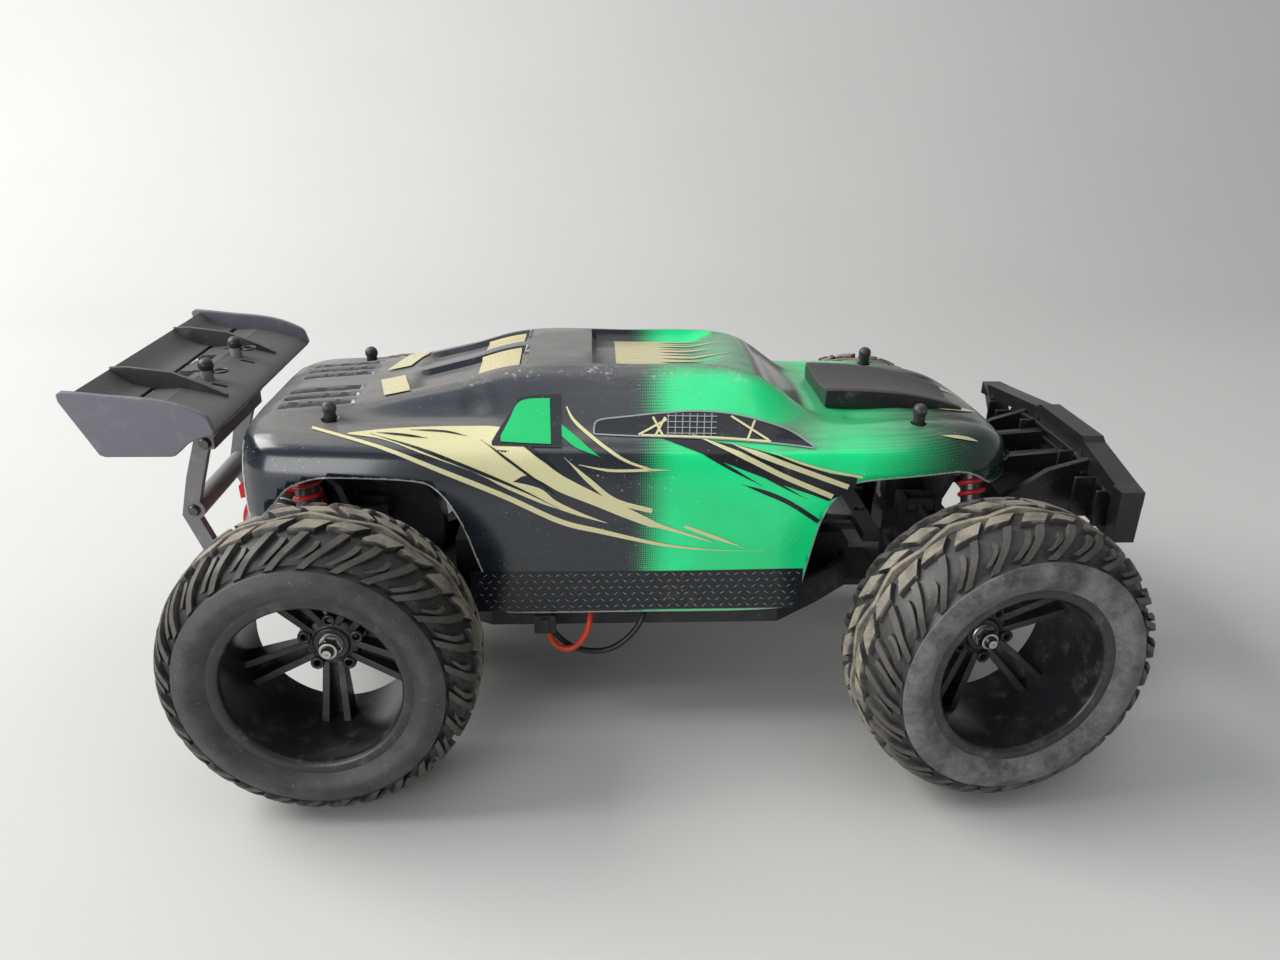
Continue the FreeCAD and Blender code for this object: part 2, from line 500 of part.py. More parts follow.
# ---------------------------------------------------------------- body shell
SHELL = [
    # x, then (y, z) from the lower edge up to the centre line
    (-143, [(52, 46), (54, 100), (51, 116), (45, 121), (37, 122), (20, 122.5), (0, 122.5)]),
    (-132, [(58, 46), (60, 100), (58, 116), (50, 122.5), (39, 124.5), (20, 125.5), (0, 125.5)]),
    (-100, [(62, 46), (64, 95), (62, 116), (54, 122), (42, 124.5), (24, 127), (0, 127)]),
    (-66, [(64, 46), (66, 90), (63, 115), (55, 121), (45, 127), (33, 135.5), (0, 136)]),
    (-40, [(66, 46), (67, 85), (63, 114), (57, 121), (50, 128), (34, 142), (0, 143)]),
    (0, [(66, 46), (67, 84), (64, 113), (60, 120), (52, 127), (34, 142), (0, 143.5)]),
    (46, [(66, 46), (66, 84), (63, 112), (58, 119.5), (51, 125), (33, 139.6), (0, 141)]),
    (77, [(62, 46), (63, 84), (62, 112), (56, 119), (46, 122), (33, 122.5), (0, 124)]),
    (112, [(59, 46), (61, 90), (60, 112), (53, 120), (42, 123), (25, 122), (0, 122)]),
    (135, [(52, 46), (53, 96), (52, 109), (46, 117), (38, 120), (24, 120), (0, 120.5)]),
    (149, [(38, 46), (40, 98), (39, 107), (35, 112), (29, 114), (18, 114.5), (0, 115)]),
    (158, [(20, 46), (22, 98), (22, 102), (20, 105), (17, 106.5), (10, 107), (0, 107.5)]),
]
REAR_ARCH = [(-44, 40), (-44, 52), (-50, 57), (-56.5, 75), (-62, 91.5), (-70, 104), (-80, 108), (-109, 108.7),
             (-120, 106.4), (-126, 103), (-133, 95), (-139, 89), (-160, 89), (-160, 40)]
FRONT_ARCH = [(63, 40), (66, 58), (72, 88), (78, 100), (86, 105.5), (117, 107.5), (130, 106), (141, 99.5),
              (170, 98), (170, 40)]


def shell_loft(stations, inset):
    """Solid through the stations; an inset above zero gives the inner surface, open below."""
    wires = []
    for x, half in stations:
        inner = [(y - inset, z - inset) for y, z in half[:-1]] + [(0, half[-1][1] - inset)]
        low = (inner[0][0], half[0][1] - 3 * inset)
        points = [low] + inner[1:]
        loop = points + [(-y, z) for y, z in reversed(points[:-1])]
        wires.append(Part.makePolygon([V(x, y, z) for y, z in loop + loop[:1]]))
    return Part.makeLoft(wires, True, True)


def body_shell():
    """Thin painted shell: open below and at the tail, cut for the wheels and holed for its posts."""
    inner = [(SHELL[0][0] - 4, SHELL[0][1])] + SHELL[:-1] + [(SHELL[-1][0] - 1.5, SHELL[-1][1])]
    shell = shell_loft(SHELL, 0).cut(shell_loft(inner, SHELL_WALL))
    shell = shell.cut(prism_y(REAR_ARCH, -80, 80)).cut(prism_y(FRONT_ARCH, -80, 80))
    shell = shell.cut(box(-200, 200, -80, 80, 20, SKIRT_Z))
    for x, y, z in POSTS.values():
        for s in (-1, 1):
            shell = shell.cut(rod((x, s * y, z - 12), (x, s * y, z + 12), SHELL_HOLE_R))
    scoop = beam([[(81, -21, 122.6), (81, 21, 122.6), (81, 18, 128.6), (81, -18, 128.6)],
                  [(112, -21, 121.4), (112, 21, 121.4), (112, 18, 127.6), (112, -18, 127.6)],
                  [(137, -17, 118.4), (137, 17, 118.4), (137, 16, 120.5), (137, -16, 120.5)]])
    return fuse(shell, scoop)


# ---------------------------------------------------------------- electrics and steering
def tube_path(points, radius):
    """Round lead along straight runs joined by tangent arcs; returns the solid and its bend radii."""
    nodes = [V(*p) for p in points]
    edges, radii, start = [], [], nodes[0]
    for before, corner, after in zip(nodes, nodes[1:], nodes[2:]):
        back, ahead = (before - corner), (after - corner)
        half_turn = (math.pi - back.getAngle(ahead)) / 2
        trim = 0.45 * min(back.Length, ahead.Length)
        bend = trim / math.tan(half_turn)
        radii.append(round(bend, 1))
        back.normalize()
        ahead.normalize()
        p0, p1 = corner + back * trim, corner + ahead * trim
        middle = back + ahead
        middle.normalize()
        centre = corner + middle * math.hypot(bend, trim)
        edges.append(Part.LineSegment(start, p0).toShape())
        edges.append(Part.Arc(p0, centre - middle * bend, p1).toShape())
        start = p1
    edges.append(Part.LineSegment(start, nodes[-1]).toShape())
    path = Part.Wire(edges)
    profile = Part.Wire(Part.makeCircle(radius, nodes[0], nodes[1] - nodes[0]))
    solid = path.makePipeShell([profile], True, False)
    expected = path.Length * math.pi * radius ** 2
    print("lead length %.1f radii %s volume ratio %.4f" % (path.Length, radii, solid.Volume / expected))
    return solid


RED_ROUTE = [(-32, -57, 40.5), (-30, -57.5, 34), (-22.5, -58.5, 32), (-16.5, -58.5, 39), (-14.5, -56.5, 47.5),
             (-14, -48, 49)]
BLACK_ROUTE = [(-31, -54, 40.5), (-26.5, -54.3, 33.5), (-17, -54.6, 29), (-6.5, -55, 29.8), (2, -55, 37),
               (7, -54.5, 46), (8, -48, 49)]


def connector():
    """Plug and socket of the battery lead, two blocks mated on a slant."""
    plug = box(-37, -28.5, -59.5, -52.2, 40.5, 48.5).cut(box(-36, -29.5, -58.5, -53.2, 45.5, 49.5))
    latch = box(-35, -31, -61, -59.5, 41.5, 47.5)
    mate = box(-35.8, -30.2, -58.3, -53.4, 45.5, 55)
    return fuse(plug, latch), mate


def steering():
    """Servo, its horn with lever, and the sliding centre link with two track-rod pins."""
    servo = fuse(box(64, 95, -10, 10, FLOOR_Z + 3, 60), box(60, 99, -10, 10, 52, 55),
                 rod((HORN_X, 0, 60), (HORN_X, 0, 61), 5))
    servo = servo.cut(rod((HORN_X, 0, 58), (HORN_X, 0, 62), 2.06))
    lever = beam([[(HORN_X, -3.5, 62), (HORN_X, 3.5, 62), (HORN_X, 3.5, 63.4), (HORN_X, -3.5, 63.4)],
                  [(LINK_X + 3, -2.4, 62), (LINK_X + 3, 2.4, 62), (LINK_X + 3, 2.4, 63.4), (LINK_X + 3, -2.4, 63.4)]])
    horn = fuse(rod((HORN_X, 0, 61.2), (HORN_X, 0, 65), 4.0), rod((HORN_X, 0, 58.2), (HORN_X, 0, 62), 2.0), lever,
                rod((LINK_X, 0, 62), (LINK_X, 0, 68.6), 1.2))
    horn = turned(horn, HORN_X, 0, -STEER_DEG)
    shift = -LEVER * math.sin(math.radians(STEER_DEG))
    link = fuse(box(LINK_X - 5, LINK_X + 2.6, -TIE_Y - 3 + shift, TIE_Y + 3 + shift, 64, 68),
                *[rod((LINK_X, s * TIE_Y + shift, TIE_Z), (TIE_X + 2.2, s * TIE_Y + shift, TIE_Z), PIN_R)
                  for s in (-1, 1)])
    slot = box(LINK_X - 3.0, LINK_X + 1.8, shift - 1.5, shift + 1.5, 60, 70)
    return servo, horn, link.cut(slot)


def screws(places):
    """Cross-head screws: a domed head with a short shank, one solid each."""
    solids = []
    for at, direction in places:
        a, d = V(*at), V(*direction)
        head = Part.makeCone(HEAD_R, 1.8, 1.6, a, d)
        solids.append(fuse(head, Part.makeCylinder(1.2, 5.0, a - d * 5.0, d)))
    return solids


SCREWS = [((-173, s * 30, 82), (0, s, 0)) for s in (-1, 1)]
SCREWS += [((-164.5, s * 30, 110.5), (0, s, 0)) for s in (-1, 1)]
UNDER = [(-132, -24), (-132, 24), (-45, -40), (-45, 40), (50, -40), (50, 40), (119, 0), (135, 0)]
SCREWS += [((x, y, FLOOR_Z + HEAD_SINK), (0, 0, -1)) for x, y in UNDER]


def drilled(shape):
    """Pilot holes for the screws, with room for their heads."""
    for at, direction in SCREWS:
        a, d = V(*at), V(*direction)
        shape = shape.cut(Part.makeCylinder(1.2, 5.0, a - d * 5.0, d))
        shape = shape.cut(Part.makeCylinder(HEAD_R + 0.1, 3.0, a, d))
    return shape


# ---------------------------------------------------------------- write every node
def main():
    for end, x in (("rear", REAR_X), ("front", FRONT_X)):
        steer = None if end == "rear" else x
        save_pair(end + "_rim", [rim(x)], steer)
        save_pair(end + "_tyre", [tyre(x)], steer)
        arm_y = REAR_ARM_Y if end == "rear" else FRONT_ARM_Y
        sign = -1 if end == "rear" else 1
        save_pair(end + "_lower_arm", [lower_arm(x, arm_y, sign)])
        save_pair(end + "_upper_link", [upper_link(x, arm_y)])
        top = REAR_SHOCK_TOP if end == "rear" else FRONT_SHOCK_TOP
        cylinder, shaft, spring = shock(x + sign * SHOCK_DX, shock_foot(arm_y), top)
        save_pair(end + "_shock_cylinder", [cylinder])
        save_pair(end + "_shock_rod", [shaft])
        save_pair(end + "_shock_spring", [spring])
    save_pair("rear_axle", axle_set(REAR_X, 65.8, True))
    save_pair("front_axle", axle_set(FRONT_X, KINGPIN_Y + 5.4, False), FRONT_X)
    save_pair("rear_hub", [rear_hub()])
    save_pair("caster_block", [caster_block()])
    save_pair("steering_knuckle", [knuckle()], FRONT_X)
    save_pair("drive_shaft", [drive_shaft()])
    for tag, sign in (("left", 1), ("right", -1)):
        save("track_rod_" + tag, tie_rod(sign))
    servo, horn, link = steering()
    save("servo_horn", horn)
    save("steering_link", link)
    spur, pinion = gears()
    save("spur_gear", spur)
    save("motor_pinion", pinion)
    save("gearbox_case", gearbox())
    save("motor", *motor())
    save("chassis", drilled(chassis()))
    rear_tower = tower(REAR_X, -1, REAR_TOWER, REAR_SHOCK_TOP, REAR_ARM_Y, 9.3, POSTS["rear"])
    front_tower = tower(FRONT_X, 1, FRONT_TOWER, FRONT_SHOCK_TOP, FRONT_ARM_Y, 6.9, POSTS["front"])
    save("shock_towers", rear_tower.cut(gear_outline(2.7, 9.2)), front_tower)
    save("tail_frame", drilled(tail_frame()))
    save("wing", wing())
    save("front_bumper", bumper())
    save("body_shell", body_shell())
    save("battery", box(-34, 58, -20, 20, FLOOR_Z + 3, 61))
    save("servo_and_controller", servo, box(-72, -40, -18, 18, FLOOR_Z + 3, 62))
    save("battery_connector", *connector())
    save("battery_lead_red", tube_path(RED_ROUTE, WIRE_R))
    save("battery_lead_black", tube_path(BLACK_ROUTE, WIRE_R))
    save("fasteners", *screws(SCREWS), *wing_clips())


main()
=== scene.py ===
import bisect
import json
import math

import bmesh
import bpy
from mathutils import Matrix, Vector
from mathutils.bvhtree import BVHTree


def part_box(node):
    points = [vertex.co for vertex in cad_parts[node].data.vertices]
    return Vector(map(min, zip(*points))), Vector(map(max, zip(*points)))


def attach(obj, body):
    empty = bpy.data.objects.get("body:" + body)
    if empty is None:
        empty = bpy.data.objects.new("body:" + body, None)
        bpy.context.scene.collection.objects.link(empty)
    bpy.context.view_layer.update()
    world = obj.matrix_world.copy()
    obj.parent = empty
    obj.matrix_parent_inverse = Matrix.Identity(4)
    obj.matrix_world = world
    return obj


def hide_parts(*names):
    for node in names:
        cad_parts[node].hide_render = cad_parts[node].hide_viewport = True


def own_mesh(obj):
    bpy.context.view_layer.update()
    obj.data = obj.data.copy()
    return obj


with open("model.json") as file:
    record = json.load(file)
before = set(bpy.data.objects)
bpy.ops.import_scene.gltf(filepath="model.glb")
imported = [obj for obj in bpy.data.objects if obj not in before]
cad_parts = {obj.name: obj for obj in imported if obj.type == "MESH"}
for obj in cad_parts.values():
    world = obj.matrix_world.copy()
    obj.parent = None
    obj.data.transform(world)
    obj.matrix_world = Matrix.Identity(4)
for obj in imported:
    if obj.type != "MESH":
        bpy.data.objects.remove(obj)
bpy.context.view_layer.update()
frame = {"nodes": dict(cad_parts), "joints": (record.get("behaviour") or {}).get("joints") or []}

MM = 0.001
JOINTS = {joint["name"]: joint for joint in frame["joints"]}


def centre(node):
    """Middle of a node's box, in millimetres."""
    low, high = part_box(node)
    return (low + high) / 2 / MM


TYRE_R = (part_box("rear_tyre_left")[1].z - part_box("rear_tyre_left")[0].z) / 2 / MM
TYRE_HALF = (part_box("rear_tyre_left")[1].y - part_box("rear_tyre_left")[0].y) / 2 / MM
SHELL_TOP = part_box("body_shell")[1].z / MM


# ------------------------------------------------------------------ small geometry
def catmull(points, steps):
    """Smooth path through points of any dimension, ends included."""
    ends = [points[0]] + list(points) + [points[-1]]
    path = []
    for p0, p1, p2, p3 in zip(ends, ends[1:], ends[2:], ends[3:]):
        for step in range(steps):
            t = step / steps
            path.append(tuple(0.5 * (2 * b + (c - a) * t + (2 * a - 5 * b + 4 * c - d) * t * t
                                     + (3 * b - a - 3 * c + d) * t ** 3)
                              for a, b, c, d in zip(p0, p1, p2, p3)))
    return path + [tuple(points[-1])]


def smoothstep(low, high, value):
    t = min(1.0, max(0.0, (value - low) / (high - low)))
    return t * t * (3 - 2 * t)


def plateau(low, high, edge, value):
    """One between low and high, falling to zero over edge at both ends."""
    return smoothstep(low, low + edge, value) * (1 - smoothstep(high - edge, high, value))


class Shape:
    """Vertices in millimetres and faces, with a "raised" value per vertex and a material index per face."""

    def __init__(self):
        self.points, self.faces, self.values, self.kinds = [], [], [], []

    def grid(self, rows, value=0.0, kind=0, wrap=False, cross_wrap=False):
        """Quads between rows of points of equal length."""
        base, width = len(self.points), len(rows[0])
        for row in rows:
            self.points.extend(row)
            self.values.extend([value] * width)
        count = len(rows)
        for i in range(count if wrap else count - 1):
            for j in range(width if cross_wrap else width - 1):
                a, b = base + i * width, base + (i + 1) % count * width
                k = (j + 1) % width
                self.faces.append((a + j, b + j, b + k, a + k))
                self.kinds.append(kind)

    def cap(self, loop, kind=0):
        base = len(self.points)
        self.points.extend(loop)
        self.values.extend([0.0] * len(loop))
        self.faces.append(tuple(range(base, base + len(loop))))
        self.kinds.append(kind)

    def solid(self, rings):
        """Closed tube through rings of points, capped at both ends."""
        self.grid(rings, cross_wrap=True)
        self.cap(list(reversed(rings[0])))
        self.cap(rings[-1])

    def prism(self, outline, axis, low, high):
        """Outline carried along y or z: of (x, z) points for y, and of (x, y) points for z."""
        if axis == "y":
            self.solid([[(u, w, v) for u, v in outline] for w in (low, high)])
        else:
            self.solid([[(u, v, w) for u, v in outline] for w in (low, high)])

    def box(self, x0, x1, y0, y1, z0, z1):
        self.prism([(x0, z0), (x1, z0), (x1, z1), (x0, z1)], "y", y0, y1)

    def round(self, start, end, radius, sides=24):
        """Rod between two points."""
        a, b = Vector(start), Vector(end)
        side = (b - a).normalized().orthogonal().normalized()
        other = (b - a).normalized().cross(side)
        angles = [2 * math.pi * k / sides for k in range(sides)]
        self.solid([[tuple(point + (side * math.cos(t) + other * math.sin(t)) * radius) for t in angles]
                    for point in (a, b)])

    def lathe(self, profile, at=(0, 0, 0), sides=96):
        """Closed (radius, y) profile turned about the Y axis through a point."""
        x, y, z = at
        rows = []
        for k in range(sides):
            a = 2 * math.pi * k / sides
            rows.append([(x + r * math.cos(a), y + w, z + r * math.sin(a)) for r, w in profile])
        self.grid(rows, wrap=True, cross_wrap=True)


def make(name, shape, materials, sharp=40.0, bevel=0.0, matrix=None):
    """Object from a Shape, set in place by matrix, with outward faces, sharp edges and edge rounding."""
    mesh = bpy.data.meshes.new(name)
    mesh.from_pydata([Vector(p) * MM for p in shape.points], [], shape.faces)
    if matrix is not None:
        mesh.transform(matrix)
    for material in materials:
        mesh.materials.append(material)
    mesh.attributes.new("raised", "FLOAT", "POINT").data.foreach_set("value", shape.values)
    mesh.polygons.foreach_set("material_index", shape.kinds)
    work = bmesh.new()
    work.from_mesh(mesh)
    bmesh.ops.remove_doubles(work, verts=work.verts, dist=1e-7)
    bmesh.ops.recalc_face_normals(work, faces=work.faces)
    work.to_mesh(mesh)
    work.free()
    piece = bpy.data.objects.new(name, mesh)
    bpy.context.scene.collection.objects.link(piece)
    if bevel:
        round_edges(piece, bevel, 2, 35)
    shade(piece, sharp)
    return piece


def add(name, shape, finish, body, replaces=None, sharp=40.0, bevel=0.0, matrix=None):
    """Piece of one finish that rides on a body and may stand for a CAD node."""
    piece = make(name, shape, [finish], sharp, bevel, matrix)
    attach(piece, body)
    if replaces:
        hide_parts(replaces)
    return piece


def round_edges(piece, width, segments, angle):
    """Rounds the edges where faces meet at more than an angle in degrees."""
    edge = piece.modifiers.new("edge", "BEVEL")
    edge.width = width * MM
    edge.segments = segments
    edge.limit_method = "ANGLE"
    edge.angle_limit = math.radians(angle)
    return edge


def shade(piece, sharp):
    """Smooth shading that breaks where faces meet at more than the sharp angle."""
    mesh = piece.data
    work = bmesh.new()
    work.from_mesh(mesh)
    for face in work.faces:
        face.smooth = True
    for edge in work.edges:
        edge.smooth = not (len(edge.link_faces) == 2 and edge.calc_face_angle() > math.radians(sharp))
    work.to_mesh(mesh)
    work.free()


def cut_away(piece, tools):
    """Takes the tools' solids out of the piece's mesh for good, and removes the tools."""
    for tool in tools:
        cut = piece.modifiers.new(tool.name, "BOOLEAN")
        cut.object = tool
        cut.solver = "EXACT"
    graph = bpy.context.evaluated_depsgraph_get()
    mesh = bpy.data.meshes.new_from_object(piece.evaluated_get(graph))
    piece.modifiers.clear()
    piece.data = mesh
    for tool in tools:
        bpy.data.objects.remove(tool)


# ------------------------------------------------------------------ materials
class Finish:
    """Node material being built: one Principled shader and the nodes that feed it."""

    def __init__(self, name, roughness=0.5, metallic=0.0, coat=0.0):
        self.material = bpy.data.materials.new(name)
        self.material.use_nodes = True
        self.tree = self.material.node_tree
        self.shader = self.tree.nodes["Principled BSDF"]
        self.shader.inputs["Roughness"].default_value = roughness
        self.shader.inputs["Metallic"].default_value = metallic
        self.shader.inputs["Coat Weight"].default_value = coat
        self.shader.inputs["Coat Roughness"].default_value = 0.15
        self.place = self.node("ShaderNodeTexCoord").outputs["Object"]

    def node(self, kind, **settings):
        made = self.tree.nodes.new(kind)
        for key, value in settings.items():
            setattr(made, key, value)
        return made

    def feed(self, target, value):
        if isinstance(value, bpy.types.NodeSocket):
            self.tree.links.new(value, target)
        else:
            target.default_value = value

    def math(self, operation, a, b=0.0):
        made = self.node("ShaderNodeMath", operation=operation)
        self.feed(made.inputs[0], a)
        self.feed(made.inputs[1], b)
        return made.outputs[0]

    def plus(self, a, b):
        return self.math("ADD", a, b)

    def product(self, *values):
        result = values[0]
        for value in values[1:]:
            result = self.math("MULTIPLY", result, value)
        return result

    def axis(self, letter):
        """One coordinate of the place on the object, in millimetres."""
        parts = self.node("ShaderNodeSeparateXYZ")
        self.feed(parts.inputs[0], self.place)
        return self.product(parts.outputs[letter], 1 / MM)

    def noise(self, size, detail=4.0, roughness=0.6, stretch=None):
        """Noise with features about size millimetres across."""
        made = self.node("ShaderNodeTexNoise")
        source = self.place
        if stretch is not None:
            mapping = self.node("ShaderNodeMapping")
            mapping.inputs["Scale"].default_value = stretch
            self.feed(mapping.inputs["Vector"], self.place)
            source = mapping.outputs[0]
        self.feed(made.inputs["Vector"], source)
        made.inputs["Scale"].default_value = 1 / (size * MM)
        made.inputs["Detail"].default_value = detail
        made.inputs["Roughness"].default_value = roughness
        return made.outputs["Fac"]

    def ramp(self, value, low, high, to_low=0.0, to_high=1.0):
        """Smooth change of a value between two limits."""
        made = self.node("ShaderNodeMapRange", interpolation_type="SMOOTHSTEP")
        self.feed(made.inputs["Value"], value)
        made.inputs["From Min"].default_value = low
        made.inputs["From Max"].default_value = high
        made.inputs["To Min"].default_value = to_low
        made.inputs["To Max"].default_value = to_high
        return made.outputs[0]

    def mix(self, share, a, b):
        """Colour a where share is zero, b where it is one."""
        made = self.node("ShaderNodeMix", data_type="RGBA")
        self.feed(made.inputs["Factor"], share)
        for socket, colour in ((made.inputs["A"], a), (made.inputs["B"], b)):
            self.feed(socket, colour if isinstance(colour, bpy.types.NodeSocket) else (*colour, 1.0))
        return made.outputs["Result"]

    def attribute(self, name):
        return self.node("ShaderNodeAttribute", attribute_name=name).outputs["Fac"]

    def facing_up(self, low=0.5, high=0.95):
        """One on faces that look up."""
        parts = self.node("ShaderNodeSeparateXYZ")
        self.feed(parts.inputs[0], self.node("ShaderNodeNewGeometry").outputs["Normal"])
        return self.ramp(parts.outputs["Z"], low, high)

    def finish(self, colour, roughness=None, height=None, depth=0.1):
        """Connects colour, roughness and a bump whose height is given in the range 0 to 1."""
        self.feed(self.shader.inputs["Base Color"], colour)
        if roughness is not None:
            self.feed(self.shader.inputs["Roughness"], roughness)
        if height is not None:
            bump = self.node("ShaderNodeBump")
            bump.inputs["Strength"].default_value = 0.6
            bump.inputs["Distance"].default_value = depth * MM
            self.feed(bump.inputs["Height"], height)
            self.feed(self.shader.inputs["Normal"], bump.outputs[0])
        return self.material


PALE_SPECK = (0.62, 0.6, 0.55)


def worn(name, base, dust, cover, rough, metallic=0.0, grain=0.5, depth=0.04, top=0.0, speck=0.0):
    """Moulded or machined surface with a fine grain, patches of dust and pale specks.

    cover is how much of it the dust takes, top how much more lies on faces that look up, and rough the
    roughness where it is clean and where it is dusty.
    """
    f = Finish(name, metallic=metallic)
    patches = f.ramp(f.noise(9.0, 6.0, 0.7), 0.62 - 0.3 * cover, 0.85 - 0.2 * cover)
    fine = f.noise(grain, 3.0)
    share = f.product(patches, f.ramp(fine, 0.3, 0.65, 0.35, 1.0))
    if top:
        share = f.math("MAXIMUM", share, f.product(f.facing_up(), f.ramp(fine, 0.25, 0.7, 0.5, 1.0), top))
    colour = f.mix(f.product(share, min(1.0, cover * 1.6)), f.mix(fine, [c * 0.8 for c in base], base), dust)
    if speck:
        colour = f.mix(f.ramp(f.noise(0.9, 2.0), 0.7, 0.74, 0.0, speck), colour, PALE_SPECK)
    return f.finish(colour, f.ramp(share, 0.0, 1.0, *rough), fine, depth)


DUST = (0.33, 0.31, 0.27)
BLACK_RUBBER = (0.012, 0.012, 0.013)

plastic = worn("black_plastic", (0.02, 0.02, 0.023), DUST, 0.3, (0.42, 0.8), top=0.35, speck=0.25)
frame_plastic = worn("frame_plastic", (0.19, 0.19, 0.2), DUST, 0.4, (0.45, 0.75), top=0.3)
grey_plastic = worn("grey_plastic", (0.16, 0.16, 0.165), DUST, 0.35, (0.5, 0.8), top=0.3)
bumper_plastic = worn("bumper_plastic", (0.013, 0.013, 0.015), (0.2, 0.19, 0.18), 0.22, (0.3, 0.6), grain=0.8,
                      depth=0.06, speck=0.2)
wing_plastic = worn("wing_plastic", (0.042, 0.042, 0.05), DUST, 0.35, (0.45, 0.8), top=0.42, speck=0.4)
plate_plastic = worn("end_plate_plastic", (0.15, 0.152, 0.18), (0.27, 0.27, 0.29), 0.4, (0.4, 0.6), grain=1.2)
rim_plastic = worn("rim_plastic", (0.024, 0.024, 0.028), (0.22, 0.19, 0.155), 0.42, (0.3, 0.8), grain=0.35,
                   speck=0.2)
steel = worn("steel", (0.55, 0.54, 0.52), (0.16, 0.13, 0.1), 0.25, (0.28, 0.6), metallic=1.0, grain=0.7)
dark_steel = worn("dark_steel", (0.1, 0.1, 0.1), (0.2, 0.18, 0.15), 0.3, (0.35, 0.7), metallic=0.8)
red_anodised = worn("red_anodised", (0.62, 0.03, 0.025), (0.5, 0.3, 0.25), 0.25, (0.25, 0.6), metallic=0.55)
spring_red = worn("spring_red", (0.7, 0.03, 0.03), (0.35, 0.2, 0.16), 0.25, (0.3, 0.6), grain=0.4)
motor_can = worn("motor_can", (0.35, 0.35, 0.35), (0.2, 0.18, 0.15), 0.25, (0.35, 0.7), metallic=0.9)
gear_plastic = worn("gear_plastic", (0.04, 0.04, 0.045), (0.2, 0.16, 0.1), 0.3, (0.35, 0.6))
shaft_steel = worn("shaft_steel", (0.3, 0.29, 0.28), (0.18, 0.15, 0.12), 0.3, (0.3, 0.7), metallic=0.9)
battery_wrap = worn("battery_wrap", (0.02, 0.05, 0.14), (0.2, 0.2, 0.2), 0.15, (0.25, 0.5), grain=1.5)
red_rubber = worn("red_wire_rubber", (0.75, 0.06, 0.02), (0.4, 0.25, 0.2), 0.2, (0.4, 0.7))
black_rubber = worn("black_wire_rubber", BLACK_RUBBER, (0.15, 0.14, 0.13), 0.2, (0.4, 0.7))


# ------------------------------------------------------------------ camera, floor, lights
EYE = (-12.9, -400.2, 247.3)         # where the camera stands, in millimetres
YAW, PITCH, ROLL = (math.radians(angle) for angle in (2.84, 22.49, -0.72))
FOCAL_LENGTH = 27.93                 # of a 36 mm wide picture
AIM = (0, 0, 0.06)                   # what the lamps point at, in metres
LAMPS = (                            # name, place and size in metres, watts, colour
    ("window", (-1.35, 0.15, 1.15), 1.1, 36, (1.0, 0.99, 0.97)),
    ("ceiling", (0.0, -0.1, 1.8), 1.8, 8, (0.96, 0.98, 1.0)),
    ("front_card", (-0.9, -1.3, 0.42), 0.9, 12, (1.0, 1.0, 1.0)),
)


def camera():
    """Stands in front of the right side, tilted down, with a slight turn and roll."""
    forward = Vector((math.sin(YAW) * math.cos(PITCH), math.cos(YAW) * math.cos(PITCH), -math.sin(PITCH)))
    level = Vector((math.cos(YAW), -math.sin(YAW), 0))
    down = forward.cross(level)
    right = level * math.cos(ROLL) + down * math.sin(ROLL)
    up = level * math.sin(ROLL) - down * math.cos(ROLL)
    data = bpy.data.cameras.new("camera")
    data.sensor_width = 36.0
    data.lens = FOCAL_LENGTH
    data.clip_start = 0.01
    seen = bpy.data.objects.new("camera", data)
    bpy.context.scene.collection.objects.link(seen)
    turn = Matrix((right, up, -forward)).transposed()
    seen.matrix_world = Matrix.Translation(Vector(EYE) * MM) @ turn.to_4x4()
    bpy.context.scene.camera = seen


def backdrop():
    """Pale floor that curves up into a wall."""
    radius, wall_y, near, half = 0.5, 1.15, -3.0, 3.0
    line = [(near, 0.0), (-1.0, 0.0), (0.0, 0.0)]
    line += [(wall_y - radius + radius * math.sin(a), radius - radius * math.cos(a))
             for a in (math.radians(7.5 * k) for k in range(13))]
    line += [(wall_y, 2.5)]
    shape = Shape()
    shape.grid([[(x / MM, y / MM, z / MM) for y, z in line] for x in (-half, 0.0, half)])
    f = Finish("floor", roughness=0.75)
    paper = f.mix(f.noise(300.0, 3.0), (0.53, 0.53, 0.525), (0.58, 0.58, 0.57))
    make("floor", shape, [f.finish(paper, None, f.noise(1.5, 2.0), 0.05)])


def lights():
    """A soft window on the left, a ceiling, a front card and dim light from all round."""
    for name, place, size, power, colour in LAMPS:
        data = bpy.data.lights.new(name, "AREA")
        data.size = size
        data.energy = power
        data.color = colour
        lamp = bpy.data.objects.new(name, data)
        lamp.location = place
        lamp.rotation_mode = "QUATERNION"
        lamp.rotation_quaternion = (Vector(AIM) - Vector(place)).to_track_quat("-Z", "Y")
        bpy.context.scene.collection.objects.link(lamp)
    world = bpy.context.scene.world or bpy.data.worlds.new("world")
    bpy.context.scene.world = world
    world.use_nodes = True
    sky = world.node_tree.nodes["Background"]
    sky.inputs["Color"].default_value = (0.82, 0.84, 0.86, 1)
    sky.inputs["Strength"].default_value = 0.3
    bpy.context.scene.view_settings.view_transform = "Standard"


# ------------------------------------------------------------------ battery leads
WIRE_R = 1.2
RED_ROUTE = [(-32, -57, 40.5), (-30, -57.5, 34), (-22.5, -58.5, 32), (-16.5, -58.5, 39), (-14.5, -56.5, 47.5),
             (-14, -48, 49)]
BLACK_ROUTE = [(-31, -54, 40.5), (-26.5, -54.3, 33.5), (-17, -54.6, 29), (-6.5, -55, 29.8), (2, -55, 37),
               (7, -54.5, 46), (8, -48, 49)]


